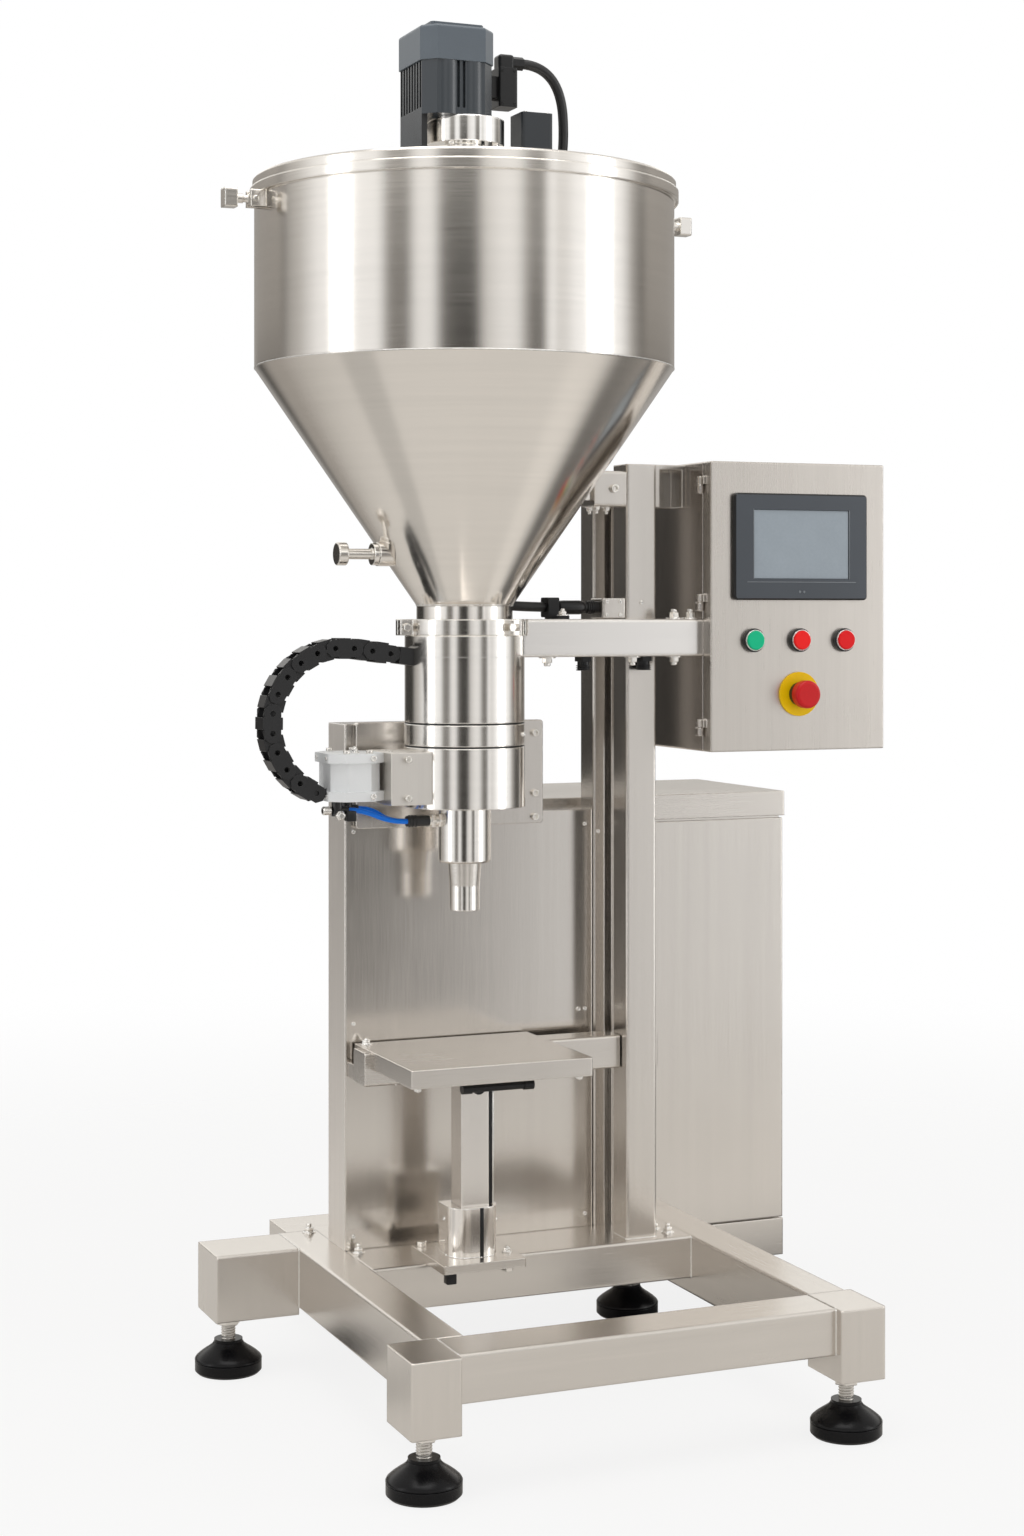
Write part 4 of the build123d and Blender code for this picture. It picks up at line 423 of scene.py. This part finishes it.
sheet_screws = bmesh.new()
cap_screw(sheet_screws, spot(234, 4, 925), (0, -1, 0), 2.6, 1.6)
cap_screw(sheet_screws, spot(212, 84, 640), (0, -1, 0), 2.6, 1.6)
cap_screw(sheet_screws, spot(185, 84, 420), (0, -1, 0), 3.0, 2.0)
for x in (44, 269, 494):
    for z in (135, 380, 628):
        cap_screw(sheet_screws, spot(x, 396, z), (0, 1, 0), 4.0, 2.4)
for x in (-110, 194):
    for z in (165, 420, 650):
        cap_screw(sheet_screws, spot(x, 84, z), (0, -1, 0), 2.6, 1.5)
piece("sheet_screws", sheet_screws, bright, "frame")

# Support arm, stay and junction box: square tube bolted to the post, with plain washers under the
# bolts and cable glands that hang below the arm.
dress("support_arm", brushed("arm_steel", (0.86, 0.835, 0.81), ALONG_X, 0.24, edge=0.0035))
arm_bolts = bmesh.new()
for x in (94, 206, 262):
    turned(arm_bolts, [(5, 0), (10, 0), (10, 1.4), (5, 1.4), (5, 0)], spot(x, -29, 858.6), (0, 0, 1), 24)
    turned(arm_bolts, [(0, 0), (4, 0), (4, 3), (3.2, 4), (0, 4)], spot(x, -29, 853), (0, 0, -1), 16)
for x in (262, 284):
    turned(arm_bolts, [(6, 0), (10, 0), (10, 1.6), (6, 1.6), (6, 0)], spot(x, -29, 905), (0, 0, 1), 24)
    turned(arm_bolts, [(0, 0), (4, 0), (4, 3), (3.2, 4), (0, 4)], spot(x, -29, 913), (0, 0, 1), 16)
for x, y in ((178, 14), (178, 34), (196, 24)):
    stud_and_nut(arm_bolts, spot(x, y, 1042), (0, 0, -1), 8, 4)
stud_and_nut(arm_bolts, spot(120, -16, 909), (0, 0, 1), 9, 3)
for x in (188, 206):
    cap_screw(arm_bolts, spot(x, 5, 926), (0, -1, 0), 2.2, 1.4)
    cap_screw(arm_bolts, spot(x, 5, 910), (0, -1, 0), 2.2, 1.4)
piece("arm_bolts", arm_bolts, bright, "frame")
dress("cable_glands", black)
ribs = bmesh.new()
for x in (150, 230):
    for z in (849.5, 847, 844.5):
        turned(ribs, [(7.5, 0), (9.2, 0.4), (9.2, 1.2), (7.5, 1.6), (7.5, 0)], spot(x, -10, z), (0, 0, -1), 24)
for x in (170, 173, 176):
    turned(ribs, [(7, 0), (8.4, 0.4), (8.4, 1.4), (7, 1.8), (7, 0)], spot(x, 22, 919), (1, 0, 0), 24)
turned(ribs, [(6.05, 0), (8.2, 2), (8.6, 8), (8.6, 30), (7.4, 34), (6.05, 36), (6.05, 0)], spot(129, 22, 919),
       (1, 0, 0), 24)
piece("gland_ribs", ribs, black, "frame")

# Hopper and lid: rolled barrel and spun cone of polished sheet, with faint lines round the axis
# and a dressed weld at the shoulder. The auger, agitator, gears, lid clamps and screws are turned.
AROUND = (16.0, 16.0, 1400.0)
spun = brushed("spun_steel", (0.78, 0.745, 0.7), AROUND, 0.15, 0.03, smudge=0.06)
turned_steel = brushed("turned_steel", (0.8, 0.77, 0.73), AROUND, 0.16, 0.04, smudge=0.06)
for node in ("hopper", "hopper_lugs", "hopper_lid"):
    dress(node, spun)
for node in ("auger_screw", "agitator", "agitator_gear", "agitator_pinion", "drain_knob", "lid_clamp_left",
             "lid_clamp_right", "hex_fasteners", "socket_screws"):
    dress(node, turned_steel)
seams = bmesh.new()
turned(seams, [(247.4, -0.8), (248.25, -0.5), (248.25, 0.5), (247.4, 0.8), (247.4, -0.8)], spot(0, 0, 1200),
       steps=160)
turned(seams, [(56.6, -1.2), (57.5, -0.5), (58.2, 0.8), (57.6, 1.4), (56.6, -1.2)], spot(0, 0, 921), steps=96)
piece("hopper_seams", seams, bright, "frame")

# Drum stack: turned stainless drums with black rings in the grooves between them, painted shade for the
# dark gaps, a scribed line below the clamp and two screws in the ring.
for node in ("neck_clamp", "auger_drum", "drum_ring", "gate_drum", "nozzle_socket", "fill_nozzle"):
    dress(node, turned_steel)
# Painted shade: black rings fill the grooves between the drums.
gap_shade = bmesh.new()
for z in (783, 756):
    turned(gap_shade, [(69.6, -0.95), (70.8, -0.9), (70.8, 0.9), (69.6, 0.95), (69.6, -0.95)], spot(0, 0, z), steps=96)
piece("drum_gap_shade", gap_shade, black, "frame")
fittings = bmesh.new()
turned(fittings, [(70.6, -0.35), (71.12, -0.3), (71.12, 0.3), (70.6, 0.35), (70.6, -0.35)], spot(0, 0, 861),
       steps=96)
ring_radius = 0.0713
for angle in (-38, 142):
    way = Vector((1, 0, 0))
    way.rotate(Matrix.Rotation(radians(angle), 3, "Z"))
    cap_screw(fittings, spot(0, 0, 769.5) + way * ring_radius, way, 3.2, 2.6)
piece("drum_fittings", fittings, bright, "frame")

# Actuator: cast and bead-blasted housing between two plates, on a folded bracket, with screws at
# the plates' ends and a throttle valve below.
cast = plastic("cast_grey", (0.88, 0.89, 0.89), 0.4, 1500.0, 0.25)
dress("actuator_body", cast)
dress("actuator_bracket", brushed("bracket_steel", (0.72, 0.69, 0.65), ALONG_Z, 0.36))
screws = bmesh.new()
for z in (700.5, 744.5):
    cap_screw(screws, spot(-127, -35, z), (0, -1, 0), 3.6, 3.4)
    cap_screw(screws, spot(-176, -12, z), (-1, 0, 0), 2.4, 1.4)
    cap_screw(screws, spot(-176, 24, z), (-1, 0, 0), 2.4, 1.4)
for x, y in ((-98, -14), (-98, 8)):
    cap_screw(screws, spot(x, y, 749), (0, 0, 1), 3.0, 2.4)
stud_and_nut(screws, spot(-140, -8, 750), (0, 0, 1), 7, 3)
turned(screws, [(0, 0), (5.5, 0), (6, 0.8), (6, 7), (4.4, 8), (4.4, 11), (0, 11)], spot(-162, -16, 679),
       (0, -1, 0), 6)
turned(screws, [(0, 0), (5, 0), (5, 9), (4, 10), (0, 10)], spot(-170, -9, 684), (-1, 0, 0), 20)
piece("actuator_screws", screws, bright, "frame")


def slab(mesh, low, high, edge):
    """A block between two corners, its edges rounded."""
    made = bmesh.ops.create_cube(mesh, size=1.0)["verts"]
    bmesh.ops.scale(mesh, vec=high - low, verts=made)
    bmesh.ops.translate(mesh, vec=(low + high) / 2, verts=made)
    edges = list({line for vert in made for line in vert.link_edges})
    bmesh.ops.bevel(mesh, geom=edges, offset=edge, affect="EDGES", segments=2, profile=0.5, material=-1)


valve = bmesh.new()
slab(valve, spot(-156, -27, 672), spot(-144, -15, 684), 0.0015)
piece("throttle_knob", valve, black, "frame")

# Cable chain: black links, moulded in plastic and snapped together, wide and narrow in turn. Its ends
# are held at the drum and at the actuator.
dress("cable_chain", plastic("chain_black", (0.014, 0.014, 0.015), 0.33))

# Air lines: two blue tubes pushed into black elbows below the actuator, and into a ribbed sleeve
# with a steel fitting on the nozzle's socket.
fitting_black = plastic("fitting_black", (0.018, 0.018, 0.019), 0.3)
dress("air_fittings", fitting_black, turned_steel)
sleeve_end = -0.166
for face in nodes["air_fittings"].data.polygons:
    face.material_index = 1 if face.center.x > sleeve_end else 0
blue = plastic("tube_blue", (0.0, 0.2, 0.9), 0.3, 300.0, 0.02, 0.35)


def lead(name, points, radius, material, body):
    """A round lead on a smooth line through its route."""
    curve = bpy.data.curves.new(name, "CURVE")
    curve.dimensions = "3D"
    curve.bevel_depth = radius
    curve.bevel_resolution = 6
    curve.resolution_u = 16
    curve.use_fill_caps = True
    line = curve.splines.new("NURBS")
    line.points.add(len(points) - 1)
    for knot, point in zip(line.points, points):
        knot.co = (*point, 1)
    line.order_u = 3
    line.use_endpoint_u = True
    made = bpy.data.objects.new(name, curve)
    bpy.context.scene.collection.objects.link(made)
    curve.materials.append(material)
    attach(made, body)
    return made


tube_routes = {"air_tube_front": [(-0.2695, -0.02075, 0.684), (-0.2535, -0.02075, 0.684),
                                  (-0.2139, -0.01485, 0.668), (-0.1939, -0.01485, 0.668)],
               "air_tube_back": [(-0.2515, -0.00275, 0.684), (-0.2355, -0.00275, 0.684),
                                 (-0.2139, -0.00865, 0.668), (-0.1939, -0.00865, 0.668)]}
for name, route in tube_routes.items():
    tube = lead(name, route, 0.003, blue, "frame")
    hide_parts("air_tubes")
nuts = bmesh.new()
for along in (-43, -34):
    turned(nuts, [(6.6, 0), (8.2, 0), (8.6, 0.6), (8.6, 4.4), (8.2, 5), (6.6, 5), (6.6, 0)], spot(along, 0, 668),
           (1, 0, 0), 6)
piece("fitting_nuts", nuts, bright, "frame")
grips = bmesh.new()
for along in (-71, -67, -63):
    turned(grips, [(6.2, 0), (7.3, 0.4), (7.3, 1.6), (6.2, 2), (6.2, 0)], spot(along, 0, 668), (1, 0, 0), 24)
piece("sleeve_grips", grips, fitting_black, "frame")

# Motors: the auger gearmotor, grooved at its sides and enamelled dark, the grooves painted near-black as
# painted shade, on a turned flange that is screwed on from below, and a small black gearmotor for the
# agitator beside it with a connector box.
dress("auger_motor", plastic("motor_enamel", (0.032, 0.04, 0.049), 0.22, 500.0, 0.1, 0.6),
      plastic("motor_cap_enamel", (0.11, 0.132, 0.155), 0.36, 500.0, 0.2), bright,
      plastic("groove_painted_shade", (0.006, 0.007, 0.008), 0.5))
motor_middle = -0.1405
skirt_top = 1.493
cap_bottom = 1.5555
groove_bottom, groove_side, groove_mouth = 0.0375, 0.0385, 0.0435
# Painted shade: the faces inside the side grooves take near-black enamel.
for face in nodes["auger_motor"].data.polygons:
    out = abs(face.center.x - motor_middle)
    sideways, endways = abs(face.normal.x) > 0.9, abs(face.normal.y) > 0.9
    shaded_groove = sideways and groove_bottom < out < groove_side or endways and groove_side < out < groove_mouth
    face.material_index = 3 if shaded_groove else 0
    # Painted light: the skirt's inner face takes bright steel in place of the dark enamel, so that the flange
    # beside it reflects a lit face.
    if face.normal.x > 0.9 and face.center.z < skirt_top:
        face.material_index = 2
    if face.center.z > cap_bottom:
        face.material_index = 1
dress("agitator_motor", plastic("motor_black", (0.02, 0.024, 0.029), 0.4))
dress("motor_flange", brushed("flange_steel", (0.85, 0.83, 0.8), AROUND, 0.06, 0.02, smudge=0.05))
motor_screws = bmesh.new()
for x in (72, 100):
    for y in (-14, 14):
        cap_screw(motor_screws, spot(x, y, 1508), (0, 0, 1), 2.4, 1.6)
for x, y in ((-28, -28), (28, -28), (-28, 28), (28, 28)):
    cap_screw(motor_screws, spot(x, y, 1464), (0, 0, -1), 4.0, 4.0)
piece("motor_screws", motor_screws, bright, "frame")
dress("motor_connector", black)
lid_screws = bmesh.new()
for z in (1521, 1560):
    for x in (50, 66):
        cap_screw(lid_screws, spot(x, 3, z), (0, -1, 0), 1.7, 0.8)
piece("connector_screws", lid_screws, black, "frame")

# Motor lead: a round cable in a black jacket, from the connector over the lid and down behind the
# hopper. It hangs from the elbow and ends in the gland of the junction box.
jacket = plastic("cable_jacket", (0.014, 0.014, 0.015), 0.36)
route = [(-0.0385, 0.00625, 1.5725), (0.0115, 0.00625, 1.5725), (0.0235, 0.01825, 1.452), (0.0155, 0.08425, 1.430),
         (0.0035, 0.15825, 1.430), (0.01142, 0.23636, 1.442), (0.00707, 0.23862, 1.2), (-0.0585, 0.11825, 0.981),
         (-0.0685, 0.05425, 0.927), (-0.0505, 0.01025, 0.919), (0.0475, 0.01025, 0.919)]
cable = lead("motor_lead", route, 0.006, jacket, "frame")
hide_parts("motor_cable")

# Control box: folded stainless box with a brushed door on three pin hinges, which are screwed on from
# the side. The back plate has four screws, and a grey controller stands inside.
dress("control_box", brushed("box_steel", (0.57, 0.53, 0.495), ALONG_Z, 0.2))
dress("control_door", brushed("door_steel", (0.6, 0.565, 0.525), ALONG_Z, 0.29))
dress("controller_unit", plastic("controller_grey", (0.3, 0.31, 0.32), 0.5))
box_screws = bmesh.new()
for z in (773, 925, 1068):
    cap_screw(box_screws, spot(296, -26, z - 5), (-1, 0, 0), 2.0, 1.2)
    cap_screw(box_screws, spot(296, -26, z + 5), (-1, 0, 0), 2.0, 1.2)
for x in (312, 521):
    for z in (760, 1080):
        cap_screw(box_screws, spot(x, 110, z), (0, 1, 0), 4.0, 2.4)
piece("box_screws", box_screws, bright, "frame")

# Touch panel: moulded charcoal bezel, its sides painted black as painted shade, round a dull grey screen,
# set in the door, with thin raised lines and two studs below the screen.
dress("hmi_bezel", plastic("bezel_charcoal", (0.06, 0.07, 0.084), 0.36), black)
# Painted shade: every bezel face that doesn't face the front takes black plastic.
for face in nodes["hmi_bezel"].data.polygons:
    face.material_index = 1 if face.normal.y > -0.9 else 0
dress("hmi_screen", plastic("screen_grey", (0.35, 0.4, 0.445), 0.22, 300.0, 0.0))
trim = bmesh.new()
slab(trim, spot(342, -67.3, 949.4), spot(493, -66.6, 950.4), 0.0002)
panel_middle = 417.5
for side in (-1, 1):
    line = panel_middle + side * 66.6
    slab(trim, spot(line - 0.5, -67.3, 953.5), spot(line + 0.5, -66.6, 1038.5), 0.0002)
    turned(trim, [(0, 0), (1.6, 0), (1.3, 0.5), (0, 0.5)], spot(panel_middle + side * 3, -67, 938), (0, -1, 0), 16)
piece("bezel_trim", trim, plastic("trim_grey", (0.2, 0.22, 0.24), 0.4), "door")

# Push buttons and emergency stop: moulded caps in chrome rings on black collars, and a red mushroom
# head on a yellow plate.
dress("button_collars", plastic("collar_black", (0.016, 0.016, 0.016), 0.32))
dress("start_button", plastic("green_cap", (0.0, 0.58, 0.28), 0.34, 300.0, 0.02, 0.3))
dress("stop_button", plastic("red_cap", (1.0, 0.007, 0.006), 0.34, 300.0, 0.02, 0.3))
dress("reset_button", plastic("red_cap_right", (0.88, 0.003, 0.006), 0.34, 300.0, 0.02, 0.3))
dress("estop_head", plastic("estop_red", (0.66, 0.005, 0.009), 0.34, 300.0, 0.02, 0.35))
dress("estop_plate", plastic("estop_yellow", (1.0, 0.64, 0.0), 0.4, 300.0, 0.02, 0.25))
chrome = brushed("chrome_rings", (0.86, 0.85, 0.83), (200.0, 200.0, 200.0), 0.1, 0.02, smudge=0.04)
rings = bmesh.new()
for x in (353, 417, 479):
    turned(rings, [(11.8, 0), (12.8, 0), (12.8, 3), (12.4, 3.4), (11.8, 3.4), (11.8, 0)], spot(x, -65, 879),
           (0, -1, 0), 48)
piece("button_rings", rings, chrome, "door")

# Lift platform: folded tray on a square crossbar with a guide shoe, on a column with a clamp collar.
# Corner bolts hang below the tray and weld beads close the bar's end. Black strips down the collar's front
# and the column stand for a dark cut and slot: painted shade. A bright lip runs beside the slot, and a
# black lever turns its clamp.
tray_steel = brushed("tray_steel", WARM, ALONG_X, 0.25, smudge=0.16)
dress("platform_tray", tray_steel)
dress("platform_crossbar", brushed("crossbar_steel", WARM, ALONG_X, 0.26))
for node in ("column_tube", "lift_tube"):
    dress(node, brushed(node + "_steel", (0.74, 0.71, 0.68), ALONG_Z, 0.22))
dress("pedestal_collar", brushed("collar_steel", (0.84, 0.81, 0.78), ALONG_Z, 0.14, 0.03), tray_steel)
plate_top = 0.1592
for face in nodes["pedestal_collar"].data.polygons:
    face.material_index = 1 if face.center.z < plate_top else 0
tray_bolts = bmesh.new()
for x, y in ((-99, -107), (101, -107), (101, 66)):
    stud_and_nut(tray_bolts, spot(x, y, 376.5), (0, 0, -1), 8, 1.5)
stud_and_nut(tray_bolts, spot(-100, 66, 397.5), (0, 0, 1), 9, 2)
for z in (366, 385):
    cap_screw(tray_bolts, spot(-98, 60, z), (0, -1, 0), 3.0, 1.8)
piece("tray_bolts", tray_bolts, bright, "platform")
beads = bmesh.new()
weld(beads, spot(-78.5, 60, 357), spot(-78.5, 60, 394), 1.2)
weld(beads, spot(-78.5, 20, 355.5), spot(-78.5, 59, 355.5), 1.2)
piece("crossbar_welds", beads, bright, "platform")
collar_screws = bmesh.new()
cap_screw(collar_screws, spot(30, -17.5, 196), (1, 0, 0), 3.0, 3.6)
cap_screw(collar_screws, spot(-30, -10, 200), (-1, 0, 0), 3.0, 0.8)
stud_and_nut(collar_screws, spot(42, -30, 159), (0, 0, 1), 8, 2)
piece("collar_screws", collar_screws, bright, "frame")
beads = bmesh.new()
weld(beads, spot(-30, -18, 159), spot(-30, 6, 159), 1.5)
weld(beads, spot(-5, -43, 159), spot(5, -43, 159), 1.2)
piece("collar_welds", beads, bright, "frame")
# Painted shade: two black strips stand for the dark of a cut in the collar and a slot down the column; the third
# block is a black stop.
slot_shade = bmesh.new()
slab(slot_shade, spot(2.4, -43.2, 159.4), spot(7.2, -41, 216.6), 0.0001)
slab(slot_shade, spot(17.5, -31, 217.5), spot(22.5, -22, 356), 0.0005)
slab(slot_shade, spot(-46, -62, 136), spot(-34, -50, 149), 0.001)
piece("collar_slot_shade_and_stop", slot_shade, black, "frame")
lip = bmesh.new()
slab(lip, spot(22.5, -32, 217.5), spot(24.5, -18, 356), 0.0005)
piece("column_lip", lip, bright, "frame")
dress("clamp_lever", black)
